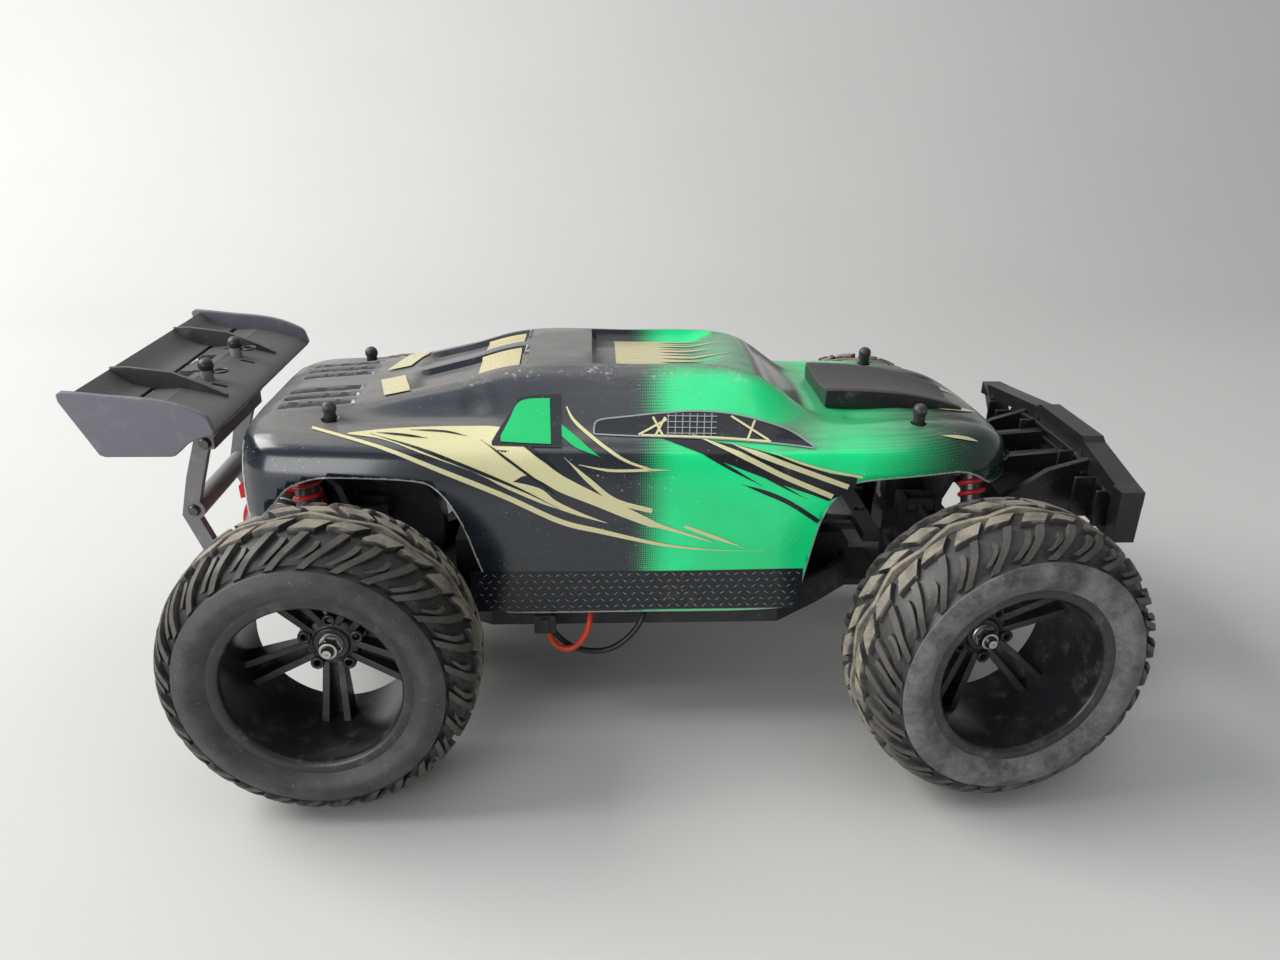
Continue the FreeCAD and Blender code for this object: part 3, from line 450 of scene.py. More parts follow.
def lead(name, route, node, material):
    """One battery lead from the chassis grommet to the connector."""
    curve = bpy.data.curves.new(name, "CURVE")
    curve.dimensions = "3D"
    curve.bevel_depth = WIRE_R * MM
    curve.bevel_resolution = 6
    curve.use_fill_caps = True
    spline = curve.splines.new("NURBS")
    spline.points.add(len(route) - 1)
    for point, place in zip(spline.points, reversed(route)):
        point.co = (*(Vector(place) * MM), 1.0)
    spline.order_u = 3
    spline.use_endpoint_u = True
    spline.resolution_u = 16
    curve.materials.append(material)
    wire = bpy.data.objects.new(name, curve)
    bpy.context.scene.collection.objects.link(wire)
    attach(wire, "truck")
    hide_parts(node)


camera()
backdrop()
lights()
lead("red_lead", RED_ROUTE, "battery_lead_red", red_rubber)
lead("black_lead", BLACK_ROUTE, "battery_lead_black", black_rubber)


# ------------------------------------------------------------------ body shell
FOOT_Z = 46                          # lower end of the skin before the skirt line is cut
SHELL = [
    # x, y at the foot, then (y, z) going up and in, and z on the centre line
    (-143, 52, [(54, 100), (51, 114), (46, 119.5), (38, 121.5), (32, 122), (28, 122.2), (20, 122.5)], 122.5),
    (-132, 58, [(60, 100), (58, 115), (51, 121.5), (42, 123.5), (35, 124.5), (29, 125), (20, 125.5)], 125.5),
    (-100, 62, [(64, 95), (62, 115), (55, 121.5), (47, 122.5), (40, 123), (33, 127.2), (29, 128)], 128.5),
    (-66, 64, [(66, 90), (63, 114), (56, 120.5), (48, 123), (42, 125), (34.5, 132.8), (30, 135)], 136.5),
    (-40, 66, [(67, 85), (63, 113.5), (58, 120), (52, 124), (46, 128.5), (35.5, 138.4), (30.5, 141)], 143),
    (0, 66, [(67, 84), (64, 113), (60, 119.5), (54, 123.5), (48, 128.5), (35.5, 138.2), (30.5, 141)], 143.5),
    (46, 66, [(66, 84), (63, 112), (59, 118.5), (53, 122), (47, 126), (35, 136.2), (30.5, 139)], 141),
    (77, 62, [(63, 84), (62, 112), (56, 119), (48, 121), (42, 121.5), (35, 121.5), (30, 121.5)], 122.5),
    (112, 59, [(61, 90), (60, 111), (54, 118.5), (46, 121.5), (40, 122), (33, 121), (28, 120.5)], 121),
    (135, 52, [(53, 96), (52, 108), (47, 115), (41, 118.5), (36, 119.5), (30, 119), (24, 118.5)], 119),
    (149, 38, [(40, 98), (39, 106), (36, 110.5), (32, 113), (28, 113.8), (23, 114), (18, 114.2)], 114.5),
    (158, 20, [(22, 98), (22, 101), (21, 103.5), (19, 105.5), (16, 106.2), (13, 106.5), (10, 106.8)], 107.2),
]
REAR_ARCH = [(-44, 40), (-44.5, 53), (-50, 58), (-56.5, 75), (-62, 91.5), (-70, 104), (-80, 108), (-109, 108.7),
             (-120, 106.4), (-126, 103), (-133, 95), (-139, 89), (-160, 89), (-160, 40)]
FRONT_ARCH = [(61, 40), (62, 53), (66, 60), (72, 88), (78, 100), (86, 105.5), (117, 107.5), (130, 106),
              (141, 99.5), (170, 98), (170, 40)]
SKIRT_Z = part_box("body_shell")[0].z / MM
WALL = 1.2
POSTS = [(-112.7, 39.2), (112.5, 42.0)]
POST_HOLE_R = 3.2
CUT = 1                              # material index of faces that only close the solid while it is cut
FLAT = 18                            # rows over the level middle of the skin
LOUVRE_PITCH, LOUVRE_DEPTH, LOUVRE_IN = 8.6, 2.8, 6
ROOF_DEPTH, DECK_PANEL_DEPTH, WINDSCREEN_DEPTH, HOOD_DEPTH = 5.0, 2.6, 1.6, 1.5
HEADROOM = 0.7                       # the relief stays this far under the top of the CAD shell
PLAIN_Z = 110                        # and the sides below this are plain
EDGE_WEAR = 8.0                      # how far from a cut edge the distance is kept for the paint


def arch(points):
    """Wheel opening as a smooth curve, with its corners clear of the shell kept sharp."""
    return points[:1] + catmull(points[1:-2], 6) + points[-2:]


def relief(x, y, z):
    """Height of the moulded features over the plain skin: deck louvres, sunk roof, deck and windscreen panels
    and the hood's creases."""
    side = abs(y)
    deck = plateau(-136, -104, 3, x) * plateau(LOUVRE_IN, LOUVRE_IN + 3 * LOUVRE_PITCH, 1.2, side)
    wave = math.cos(2 * math.pi * (side - LOUVRE_IN - LOUVRE_PITCH / 2) / LOUVRE_PITCH)
    lift = -deck * LOUVRE_DEPTH * (0.5 + 0.5 * wave) ** 2
    roof = smoothstep(-14, -12.5, x) * (1 - smoothstep(26, 48, x)) * (1 - smoothstep(24.5, 27, side))
    panel = smoothstep(-86, -80, x) * (1 - smoothstep(-41, -38.5, x)) * plateau(3, 27, 2, side)
    lift -= ROOF_DEPTH * roof
    lift -= DECK_PANEL_DEPTH * panel
    lift -= WINDSCREEN_DEPTH * plateau(52, 76, 5, x) * (1 - smoothstep(26, 31, side))
    lift -= HOOD_DEPTH * plateau(84, 146, 8, x) * plateau(22, 34, 5, side)
    return min(z + lift, SHELL_TOP - HEADROOM)


def skin(columns=264, steps=6):
    """Rows of outer surface points, right edge to left edge, one row per x."""
    sections = [(x, foot, FOOT_Z) + tuple(v for point in points for v in point) + (0, crown)
                for x, foot, points, crown in SHELL]
    rows = []
    for values in catmull(sections, columns // len(SHELL)):
        x, half = values[0], [(values[k], values[k + 1]) for k in range(1, len(values), 2)]
        line = catmull(half[:-1], steps)
        (y0, z0), z1 = half[-2], half[-1][1]
        line += [(y0 * (1 - k / FLAT), z1 + (z0 - z1) * (1 - k / FLAT) ** 2) for k in range(1, FLAT + 1)]
        line = [(y, relief(x, y, z) if z > PLAIN_Z else z) for y, z in line]
        rows.append([(x, -y, z) for y, z in line] + [(x, y, z) for y, z in reversed(line[:-1])])
    return rows


def distance(point, outline):
    """Shortest distance from an (x, z) point to an open outline."""
    best = math.inf
    for a, b in zip(outline, outline[1:]):
        run, back = Vector(b) - Vector(a), Vector(point) - Vector(a)
        share = min(1.0, max(0.0, back.dot(run) / max(run.dot(run), 1e-9)))
        best = min(best, (back - run * share).length)
    return best


NAVY, LIT_NAVY = (0.008, 0.011, 0.017), (0.016, 0.022, 0.034)
GREEN, LIT_GREEN = (0.0, 0.74, 0.23), (0.0, 0.88, 0.3)
NOSE, WINDSCREEN = (0.001, 0.022, 0.014), (0.05, 0.045, 0.042)
# the first colour is pale dust on the shell's upward faces, and on the fender tops it is also a painted
# highlight
SHELL_DUST_AND_SHEEN, FILM = (0.15, 0.145, 0.14), (0.3, 0.32, 0.33)
SCRATCH, CUT_EDGE = (0.6, 0.62, 0.6), (0.55, 0.57, 0.55)
DOT_TURN = 3.6                       # printed dots: radians per millimetre along both slants
ROOF_EDGE_Y = 32.0                   # the roof's edge, where the print is rubbed


def print_colour(f, x, y, z):
    """Navy rear, bright green middle and dark nose, which fade through printed dots, and the windscreen."""
    slants = f.plus(x, z), f.math("SUBTRACT", x, z)
    dots = f.product(*[f.math("SINE", f.product(v, DOT_TURN)) for v in slants])
    slant = f.plus(x, f.product(f.math("SUBTRACT", z, 100.0), -0.05))
    fade_in = f.plus(f.ramp(slant, -14.0, 30.0), f.product(dots, 0.12))
    fade_out = f.plus(f.ramp(x, 64.0, 152.0), f.product(dots, 0.1))
    green = f.mix(f.ramp(f.noise(45.0), 0.35, 0.65), GREEN, LIT_GREEN)
    colour = f.mix(f.ramp(fade_in, 0.28, 0.82), f.mix(f.noise(30.0), NAVY, LIT_NAVY), green)
    colour = f.mix(f.ramp(fade_out, 0.05, 0.9), colour, NOSE)
    windscreen = f.product(f.ramp(x, 49.0, 51.0), f.ramp(x, 74.0, 72.0), f.ramp(y, 31, 29),
                           f.ramp(z, 122.0, 124.0))
    return f.mix(windscreen, colour, WINDSCREEN)


def paint():
    """Printed polycarbonate with dust on top, which on the fender tops is also a painted highlight, a thin
    film, specks, a rubbed roof edge and scuffed cut edges.
    """
    f = Finish("shell_paint", coat=0.55)
    x, y, z = f.axis("X"), f.math("ABSOLUTE", f.axis("Y")), f.axis("Z")
    colour = print_colour(f, x, y, z)
    fine, streaks = f.noise(0.6, 3.0), f.noise(7.0, 5.0, 0.7, (0.25, 1.0, 1.0))
    clean_hood = f.ramp(x, 60.0, 85.0, 0.95, 0.42)
    # dust on faces that look up; on the fender tops this lighter tone is also a painted highlight
    dust = f.product(f.facing_up(0.72, 0.975), clean_hood, f.ramp(streaks, 0.22, 0.6, 0.55, 1.0),
                     f.ramp(fine, 0.2, 0.6, 0.6, 1.0))
    colour = f.mix(dust, colour, SHELL_DUST_AND_SHEEN)
    colour = f.mix(f.product(f.ramp(streaks, 0.45, 0.8), 0.05), colour, FILM)
    specks = f.product(f.ramp(f.noise(0.8, 2.0), 0.69, 0.73), f.ramp(f.noise(26.0), 0.42, 0.6))
    colour = f.mix(f.product(specks, 0.75), colour, SCRATCH)
    scratches = f.noise(2.2, 6.0, 0.8)
    gap = f.math("ABSOLUTE", f.math("SUBTRACT", y, ROOF_EDGE_Y))
    rubbed = f.product(f.ramp(gap, 5.0, 1.0), f.ramp(z, 131.0, 134.0), f.ramp(scratches, 0.56, 0.6),
                       f.ramp(f.noise(24.0, 2.0), 0.42, 0.6))
    colour = f.mix(f.product(rubbed, 0.8), colour, SCRATCH)
    ragged = f.product(f.math("SUBTRACT", f.noise(2.2, 5.0, 0.8), 0.5), -1.6)
    scuff = f.ramp(f.plus(f.attribute("raised"), ragged), 0.75, 0.35)
    colour = f.mix(f.product(scuff, 0.85), colour, CUT_EDGE)
    rough = f.math("MAXIMUM", f.ramp(dust, 0.0, 0.8, 0.2, 0.75), f.ramp(scuff, 0.0, 1.0, 0.0, 0.7))
    return f.finish(colour, rough, f.noise(1.2, 4.0), 0.03)


def shell_cutters():
    """Closed tools for the wheel openings, the lower edge and the post holes."""
    tools = [Shape() for _ in range(3)]
    tools[0].prism(arch(REAR_ARCH), "y", -90, 90)
    tools[1].prism(arch(FRONT_ARCH), "y", -90, 90)
    tools[2].box(-200, 200, -90, 90, 0, SKIRT_Z)
    for x, y in POSTS:
        for side in (-1, 1):
            tools.append(Shape())
            tools[-1].round((x, side * y, 100), (x, side * y, 140), POST_HOLE_R, sides=28)
    for tool in tools:
        tool.kinds = [CUT] * len(tool.faces)
    return [make(f"cut_{index}", tool, [None, None]) for index, tool in enumerate(tools)]


def body_shell():
    """Skin with wheel openings, post holes and a lower edge; returns a search tree of its uncut surface."""
    rows = skin()
    shape = Shape()
    shape.grid(rows)
    tree = BVHTree.FromPolygons([Vector(p) for p in shape.points], shape.faces)
    shape.grid([[row[-1] for row in rows], [row[0] for row in rows]], kind=CUT)
    shape.cap(rows[0], kind=CUT)
    shape.cap(rows[-1])
    inside = worn("shell_inside", BLACK_RUBBER, DUST, 0.35, (0.55, 0.85), grain=1.0)
    whole = make("shell_body", shape, [paint(), inside])
    cut_away(whole, shell_cutters())
    mesh = whole.data
    work = bmesh.new()
    work.from_mesh(mesh)
    bmesh.ops.delete(work, geom=[face for face in work.faces if face.material_index == CUT], context="FACES")
    work.to_mesh(mesh)
    work.free()
    wall = whole.modifiers.new("wall", "SOLIDIFY")
    wall.thickness = WALL * MM
    wall.offset = -1
    wall.use_quality_normals = True
    wall.material_offset = 1
    edges = [arch(REAR_ARCH), arch(FRONT_ARCH), [(SHELL[0][0], 0), (SHELL[0][0], 118)]]
    near = []
    for vertex in mesh.vertices:
        x, y, z = vertex.co / MM
        gap = min(abs(z - SKIRT_Z), *(distance((x, z), outline) for outline in edges))
        near.append(min(gap, EDGE_WEAR))
    mesh.attributes["raised"].data.foreach_set("value", near)
    shade(whole, 32)
    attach(whole, "shell")
    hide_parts("body_shell")
    return tree


# ------------------------------------------------------------------ printed graphics
LAYER = 0.16                         # how far each layer of print stands off the one below
ART_EYE = (-13, 400, 247)            # the side art is drawn on an upright plane, as seen from this point
ART_PLANE = 65                       # and that plane stands this far from the middle


def lay(shape, rows, tree, layer, way="side"):
    """Drops flat points on the skin: "side" for (x, z) points seen from beside and above, "top" for (x, y)."""
    for side in (-1, 1) if way == "side" else (1,):
        placed = []
        for row in rows:
            line = []
            for u, v in row:
                if way == "side":
                    start = Vector((ART_EYE[0], side * ART_EYE[1], ART_EYE[2]))
                    aim, missed = Vector((u, side * ART_PLANE, v)), Vector((u, side * 40, v))
                else:
                    start, aim, missed = Vector((u, v, 200)), Vector((u, v, 0)), Vector((u, v, 130))
                toward = (aim - start).normalized()
                place, normal, _, _ = tree.ray_cast(start, toward)
                if place is None:
                    place, normal, _, _ = tree.find_nearest(missed)
                if normal.dot(toward) > 0:
                    normal = -normal
                line.append(tuple(place + normal * (layer * LAYER)))
            placed.append(line)
        shape.grid(placed)


def band(stations, steps=8, across=4):
    """Rows between a lower and an upper curve given as (x, low, high) stations."""
    return [[(x, low + (high - low) * k / across) for k in range(across + 1)]
            for x, low, high in catmull(stations, steps)]


def stroke(points, width, taper=(0.0, 0.0), steps=8, across=2):
    """Rows of a pen stroke along a smooth path; taper gives the share of width at each end."""
    path = catmull(points, steps)
    rows = []
    for k, (x, z) in enumerate(path):
        ahead, back = path[min(k + 1, len(path) - 1)], path[max(k - 1, 0)]
        run = Vector((ahead[0] - back[0], ahead[1] - back[1])).normalized()
        t = k / (len(path) - 1)
        start = taper[0] + (1 - taper[0]) * smoothstep(0, 0.35, t)
        end = taper[1] + (1 - taper[1]) * (1 - smoothstep(0.55, 1, t))
        half = max(width / 2 * start * end, 0.06)
        rows.append([(x - run.y * half * s, z + run.x * half * s)
                     for s in (2 * j / across - 1 for j in range(across + 1))])
    return rows


def ink(name, colour, cover=0.18, top=0.0):
    """Printed ink under clear plastic, lightly rubbed and dusty."""
    return worn(name, colour, (0.42, 0.4, 0.36), cover, (0.22, 0.6), grain=1.0, depth=0.02, top=top, speck=0.35)


# The art below is in millimetres, of (x, z) points on the side plane.
SWOOSHES = (
    stroke([(-112.2, 129), (-88.3, 121.2), (-67.2, 112), (-45.6, 102.2), (-25.8, 92.1), (-10.6, 87.8),
            (12.5, 82.1), (31.9, 79.7), (51.3, 79.1)], 2.1, (0.5, 0.0), 10),
    band([(-100, 126.4, 126.9), (-88, 124.4, 128.2), (-73.5, 118.6, 129), (-58, 112.5, 129.3),
          (-46, 107.2, 128.8), (-38, 110.4, 124.2), (-32.5, 108.2, 117.3), (-25.3, 103.7, 110.9),
          (-12.7, 98.2, 103.6), (-3, 93.8, 98.6), (6.9, 89.8, 93.2), (12.3, 88.6, 90.4),
          (30.9, 82.9, 83.3)], 8, 6),
    band([(-52, 109.6, 109.9), (-45, 105.4, 108.6), (-33, 99.6, 105.4), (-27, 97.3, 100.4), (-18.1, 94, 95.6),
          (-8.3, 91.1, 91.3)], 8),
    stroke([(-23.7, 117.3), (-14.2, 107.6), (-5.2, 100.2), (8.4, 96)], 2.0, (0.0, 1.0)),
    stroke([(-18.6, 114.5), (-6.8, 112.2), (8.1, 112.3), (14.8, 112.3)], 1.1, (0.2, 0.0)),
    stroke([(-22.6, 136.5), (-20.5, 132), (-16.3, 127.4), (-8.2, 120.4), (-0.8, 115.6), (8.1, 112.3)], 1.3,
           (0.4, 0.7)),
    stroke([(20.7, 89.6), (31, 85.4), (43.5, 80.5)], 1.4, (0.8, 0.0)),
)
FENDER_LINES = (
    stroke([(36.9, 122), (56.7, 114.3), (81, 105.1)], 2.0, (0.1, 1.0)),
    stroke([(21.9, 126), (41.6, 117.2), (57.1, 109.3), (75.4, 101.3)], 2.0, (0.1, 1.0)),
    stroke([(52, 118.6), (68, 112.9), (86, 108.9)], 0.9, (0.1, 1.0)),
    stroke([(109, 135.4), (117, 135.0), (124, 134.0)], 1.2, (0.0, 0.2)),
    stroke([(113, 125.0), (122, 123.9), (127, 122.6)], 1.2, (0.0, 0.2)),
)
WINDOW_BARS = tuple(stroke(points, 0.8, (1.0, 1.0), 5) for points in (
    [(3, 125.6), (13, 131.5)], [(9, 125.2), (12.4, 132.3)], [(8, 132.4), (11.6, 125.4)],
    [(36, 132.6), (50.2, 123.2)], [(44.6, 131), (42.4, 123.4)], [(4, 125.4), (30, 124.4), (51, 122.7)]))
WINDOW = [(-13, 126.2, 128.6), (-11, 125.9, 131.4), (0, 125.3, 132.8), (12, 124.8, 134), (24, 124.3, 134.6),
          (36, 123.6, 133.6), (48, 122.6, 130.6), (58, 121.6, 126.8), (67, 120.2, 120.8)]
DARK_FLASHES = (
    band([(-4, 129.6, 130), (8, 125.8, 129), (19, 121.4, 125.2), (30, 116.8, 123.2), (42, 111.9, 121),
          (57, 105.8, 116.6), (68, 101.8, 112.4), (74, 99.4, 110.4)], 8, 5),
    band([(74, 99.4, 110.4), (80, 102.5, 109.4), (84, 105.5, 108.9)], 6, 4),
    stroke([(20.5, 122.6), (34.2, 114.2), (49, 105.6)], 1.3),
    stroke([(41.4, 106.4), (57.7, 99.7), (71, 91)], 1.8, (0.0, 1.0)),
    stroke([(41.7, 113.7), (53.4, 107.2), (66.1, 100.1)], 0.9),
)
SKIRT_BAND = band([(x, SKIRT_Z + 0.3, z) for x, z in ((-60, 71.4), (-20, 70.8), (30, 71), (66.6, 71.4))], 10, 5)
SWOOSH_GAPS = (
    stroke([(-44.6, 127.6), (-34, 118.9), (-25.4, 111.7)], 1.6),
    stroke([(-53.4, 124.1), (-38, 111.6), (-25.7, 101.4)], 1.0),
    stroke([(-92.2, 126.6), (-75, 120.6), (-59.8, 114.2), (-40, 105), (-25.7, 97)], 1.4),
    stroke([(-78, 127.8), (-66, 127.2), (-58, 125.4)], 0.7),
    stroke([(-90, 126.9), (-80, 125.9), (-72, 124.7)], 0.8),
    band([(-49.5, 121.8, 123.4), (-46, 121.6, 129), (-41, 121.4, 136), (-38, 121.3, 140),
          (-24.6, 120.9, 141)], 6, 6),
)
GREEN_PANEL = band([(-46.2, 123.2, 125.2), (-43, 123, 131), (-38.6, 122.7, 138.4), (-28.4, 122.2, 139.4)], 6, 6)
GREEN_FLASH = stroke([(-26.4, 129.4), (-22.5, 125.8), (-17.5, 121.5), (-10.5, 117.2)], 3.4, (1.0, 0.0))
ROOF_TIPS = (38, 26, 31, 42, 28, 36, 25, 40, 29, 34)    # x where the roof block's stripes end
CHEQUER_X, CHEQUER_Z = 3.4, 2.7      # pitch of the tread-plate marks on the skirt


def window_lines():
    """Outline of the side window and the net across it."""
    edge = catmull(WINDOW, 6)
    outline = [(x, high) for x, low, high in edge] + [(x, low) for x, low, high in reversed(edge)]
    upright = [13.5 + 2.6 * k for k in range(7)]
    level = [126.2 + 2.2 * k for k in range(4)]
    net = [stroke([(x, 124.9), (x, 133.6)], 0.35, (1.0, 1.0), 5) for x in upright]
    net += [stroke([(13, z), (31, z - 0.3)], 0.35, (1.0, 1.0), 6) for z in level]
    return stroke(outline + outline[:1], 0.55, (1.0, 1.0), 1), net


def skirt_marks():
    """Short slanted marks in rows, every second one the other way."""
    marks = []
    for row in range(6):
        for column in range(38):
            x = -56 + column * CHEQUER_X + (row % 2) * CHEQUER_X / 2
            z = SKIRT_Z + 2.2 + row * CHEQUER_Z
            tilt = 0.75 if (row + column) % 2 else -0.75
            if -54 + (z - SKIRT_Z) * -0.3 < x < 63 + (z - SKIRT_Z) * 0.15:
                ends = [(x - 0.7, z - tilt * 0.7), (x + 0.7, z + tilt * 0.7)]
                marks.append(stroke(ends, 0.3, (0.4, 0.4), 2, 1))
    return marks


def roof_art(tree):
    """Two patches on each side of the deck, and the roof block with ragged stripes."""
    shape = Shape()
    for side in (-1, 1):
        rear = [[(x + 0.25 * y, side * y) for y in range(7, 30, 2)] for x in range(-101, -89, 2)]
        middle = [[(x, side * y) for y in range(4, 28, 2)] for x in range(-58, -40, 2)]
        lay(shape, rear, tree, 4, "top")
        lay(shape, middle, tree, 3, "top")
    back, narrowing, width = -4, 14, 4.4
    for k, tip in enumerate(ROOF_TIPS):
        y0 = -22.5 + 4.5 * k
        rows = []
        for x in (back, 2, 8, narrowing, (narrowing + tip) / 2, tip):
            share = 1 if x < narrowing else max(0.08, 1 - (x - narrowing) / (tip - narrowing))
            rows.append([(x, y0 + w * share) for w in (0.0, width / 2, width)])
        lay(shape, rows, tree, 2, "top")
    return shape


def graphics(tree):
    """Swooshes, stripes, window and panels of the printed body, without any lettering."""
    outline, net = window_lines()
    prints = (
        ("cream", (0.74, 0.7, 0.4), 0.18, ((2, SWOOSHES), (3, FENDER_LINES), (4, WINDOW_BARS))),
        ("dark", (0.011, 0.013, 0.018), 0.18,
         ((2, [band(WINDOW, 8, 8)]), (1, DARK_FLASHES), (3, SWOOSH_GAPS), (1, [SKIRT_BAND]))),
        ("green", (0.0, 0.56, 0.16), 0.08, ((5, [GREEN_PANEL]), (2, [GREEN_FLASH]))),
        ("pale", (0.33, 0.35, 0.36), 0.18, ((3, [outline]), (4, net), (3, skirt_marks()))),
    )
    for name, colour, cover, layers in prints:
        shape = Shape()
        for layer, marks in layers:
            for rows in marks:
                lay(shape, rows, tree, layer)
        add(f"{name}_graphics", shape, ink(f"{name}_ink", colour, cover), "shell", sharp=60)
    roof_ink = ink("roof_cream_ink", (0.6, 0.54, 0.31), top=0.4)
    add("roof_patches", roof_art(tree), roof_ink, "shell", sharp=60)


graphics(body_shell())


# ------------------------------------------------------------------ wheels
WHEELS = {f"{end}_{side}": (end, side) for end in ("rear", "front") for side in ("left", "right")}
RIM_OUT = 20.6                       # rim lip from the middle plane of the tyre
LIP_R, DISH_R = 35.6, 30.0
DISC_IN, DISC_OUT = -12.5, -7.9      # hub disc from the middle plane of the tyre
STUB_IN = {end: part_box(f"{end}_axle_left")[0].y / MM - centre(f"{end}_tyre_left").y + inset
           for end, inset in (("rear", 7.0), ("front", 0.0))}
REPEATS = 14                         # of the tread round a tyre
STEP = 2 * math.pi / REPEATS         # and the angle of one of them
TYRE_SIDES = 168                     # facets round the carcass
CROWN = 9.5                          # half width of the centre tread, along the surface
RING = 25.5                          # where the shoulder ribs end, along the surface from the crown
LUG = 2.3                            # height of the tread blocks
SHOULDER = 0.6                       # value of "raised" on the shoulder ribs; the crown has 1
BEAD = -1.0                          # value of "raised" on the smooth ring beside the rim
RIBS = (                             # width in steps, then how far the ends stay from the crown and the ring
    (0.12, 0.4, 0.3), (0.085, 4.2, 2.2), (0.12, 1.6, 0.3), (0.07, 5.6, 3.4),
)
BLOCKS = ((2.6, 7.6), (3.4, 9.6))    # crown blocks: near and far side, along the surface
RIDGE = ((-1.2, LUG), (-0.9, 0.2), (0.9, 0.2), (1.2, LUG))    # centre ridge: along the surface, depth


def wheel_matrix(end, side):
    """Wheel frame: origin at the tyre's middle, Y outward along the axle."""
    axis = Vector(JOINTS[f"{end}_{side}_spin"]["axis"])
    outward = axis if axis.y * (1 if side == "left" else -1) > 0 else -axis
    forward = outward.cross(Vector((0, 0, 1))).normalized()
    turn = Matrix((forward, outward, forward.cross(outward))).transposed()
    return Matrix.Translation(centre(f"{end}_tyre_{side}") * MM) @ turn.to_4x4()


class Tread:
    """Outer profile of the tyre, walked by its arc length from the crown, outward positive."""

    def __init__(self):
        half = [(TYRE_R, 0), (TYRE_R, 4.5), (54, 11.5), (51, 18.5), (46, 21.4), (40, TYRE_HALF), (35.9, 22.0)]
        self.path = [(min(r, TYRE_R), min(y, TYRE_HALF)) for r, y in catmull(half, 8)]
        self.lengths = [0.0]
        for a, b in zip(self.path, self.path[1:]):
            self.lengths.append(self.lengths[-1] + math.hypot(b[0] - a[0], b[1] - a[1]))

    def at(self, along, depth=0.0):
        """Radius and y at a signed distance from the crown, sunk below the profile by depth."""
        reach = min(abs(along), self.lengths[-1] - 1e-6)
        k = max(0, bisect.bisect_right(self.lengths, reach) - 1)
        a, b = self.path[k], self.path[k + 1]
        share = (reach - self.lengths[k]) / (self.lengths[k + 1] - self.lengths[k])
        r, y = a[0] + (b[0] - a[0]) * share, a[1] + (b[1] - a[1]) * share
        run = Vector((b[0] - a[0], b[1] - a[1])).normalized()
        r, y = r - run.y * depth, y + run.x * depth
        return r, y if along >= 0 else -y

    def point(self, along, angle, depth):
        r, y = self.at(along, depth)
        return (r * math.cos(angle), y, r * math.sin(angle))


def lug(shape, tread, corners, steps, bow=0.0, depth=0.0, value=1.0):
    """Tread block over four (along, angle) corners, with sloping sides and a flat top."""
    (a0, t0), (a1, t1), (a2, t2), (a3, t3) = corners
    rows = []
    for i in range(steps + 1):
        u = i / steps
        row = []
        for v in (0.0, 0.5, 1.0):
            along = (a0 * (1 - v) + a3 * v) * (1 - u) + (a1 * (1 - v) + a2 * v) * u
            angle = (t0 * (1 - v) + t3 * v) * (1 - u) + (t1 * (1 - v) + t2 * v) * u
            row.append((along, angle + bow * math.sin(math.pi * u)))
        rows.append(row)

    def surface(i, j, shrink, sink):
        along, angle = rows[i][j]
        core = rows[i][1]
        return tread.point(core[0] + (along - core[0]) * shrink, core[1] + (angle - core[1]) * shrink, sink)

    loop = [(0, 0), (0, 1), (0, 2)] + [(i, 2) for i in range(1, steps + 1)]
    loop += [(steps, 1), (steps, 0)] + [(i, 0) for i in range(steps - 1, 0, -1)]
    levels = [[surface(i, j, shrink, sink) for i, j in loop]
              for shrink, sink in ((1.12, LUG + 0.6), (0.94, 0.4 + depth), (0.84, depth))]
    shape.grid(levels[:2], 0.0, cross_wrap=True)
    shape.grid(levels[1:], value, cross_wrap=True)
    shape.grid([[surface(i, j, 0.84, depth) for j in range(3)] for i in range(steps + 1)], value)


def tyre_shape():
    """Carcass with a smooth bead ring, slanted shoulder ribs, crown blocks and a zigzag centre ridge."""
    tread = Tread()
    shape = Shape()
    marks = [tread.lengths[-1] * k / 34 for k in range(35)]
    walk = [-mark for mark in reversed(marks[1:])] + marks
    outside = [tread.at(along, LUG * (1 - smoothstep(RING - 1.5, RING + 1.0, abs(along)))) for along in walk]
    inside = [(33.4, 20.0), (33.0, 14.0), (33.0, -14.0), (33.4, -20.0)]
    shape.lathe(outside + inside, sides=TYRE_SIDES)
    shape.values = ([BEAD if abs(along) > RING else 0.0 for along in walk] + [BEAD] * len(inside)) * TYRE_SIDES
    for repeat in range(REPEATS):
        for side in (-1, 1):
            shift = repeat * STEP + (0.5 * STEP if side < 0 else 0.0)
            for rib, (width, from_crown, from_ring) in enumerate(RIBS):
                t, wide = shift + (0.04 + 0.235 * rib) * STEP, width * STEP
                reach, foot = CROWN + from_crown, RING - from_ring
                lean = 0.55 * STEP * (foot - reach) / (RING - CROWN)
                corners = [(side * foot, t - lean), (side * reach, t), (side * reach, t + wide * 1.15),
                           (side * foot, t - lean + wide * 1.3)]
                lug(shape, tread, corners, 7, bow=0.07 * STEP, depth=0.2, value=SHOULDER)
            for block, (near, far) in enumerate(BLOCKS):
                t = shift + (0.02 + 0.5 * block) * STEP
                corners = [(side * near, t), (side * near, t + 0.36 * STEP), (side * far, t + 0.16 * STEP),
                           (side * far, t - 0.2 * STEP)]
                lug(shape, tread, corners, 4)
    steps = REPEATS * 8
    rings = []
    for k in range(steps):
        wave = abs((k / 4) % 2 - 1) * 2 - 1
        rings.append([tread.point(1.7 * wave + w, 2 * math.pi * k / steps, depth) for w, depth in RIDGE])
    shape.grid(rings, 1.0, wrap=True)
    return shape


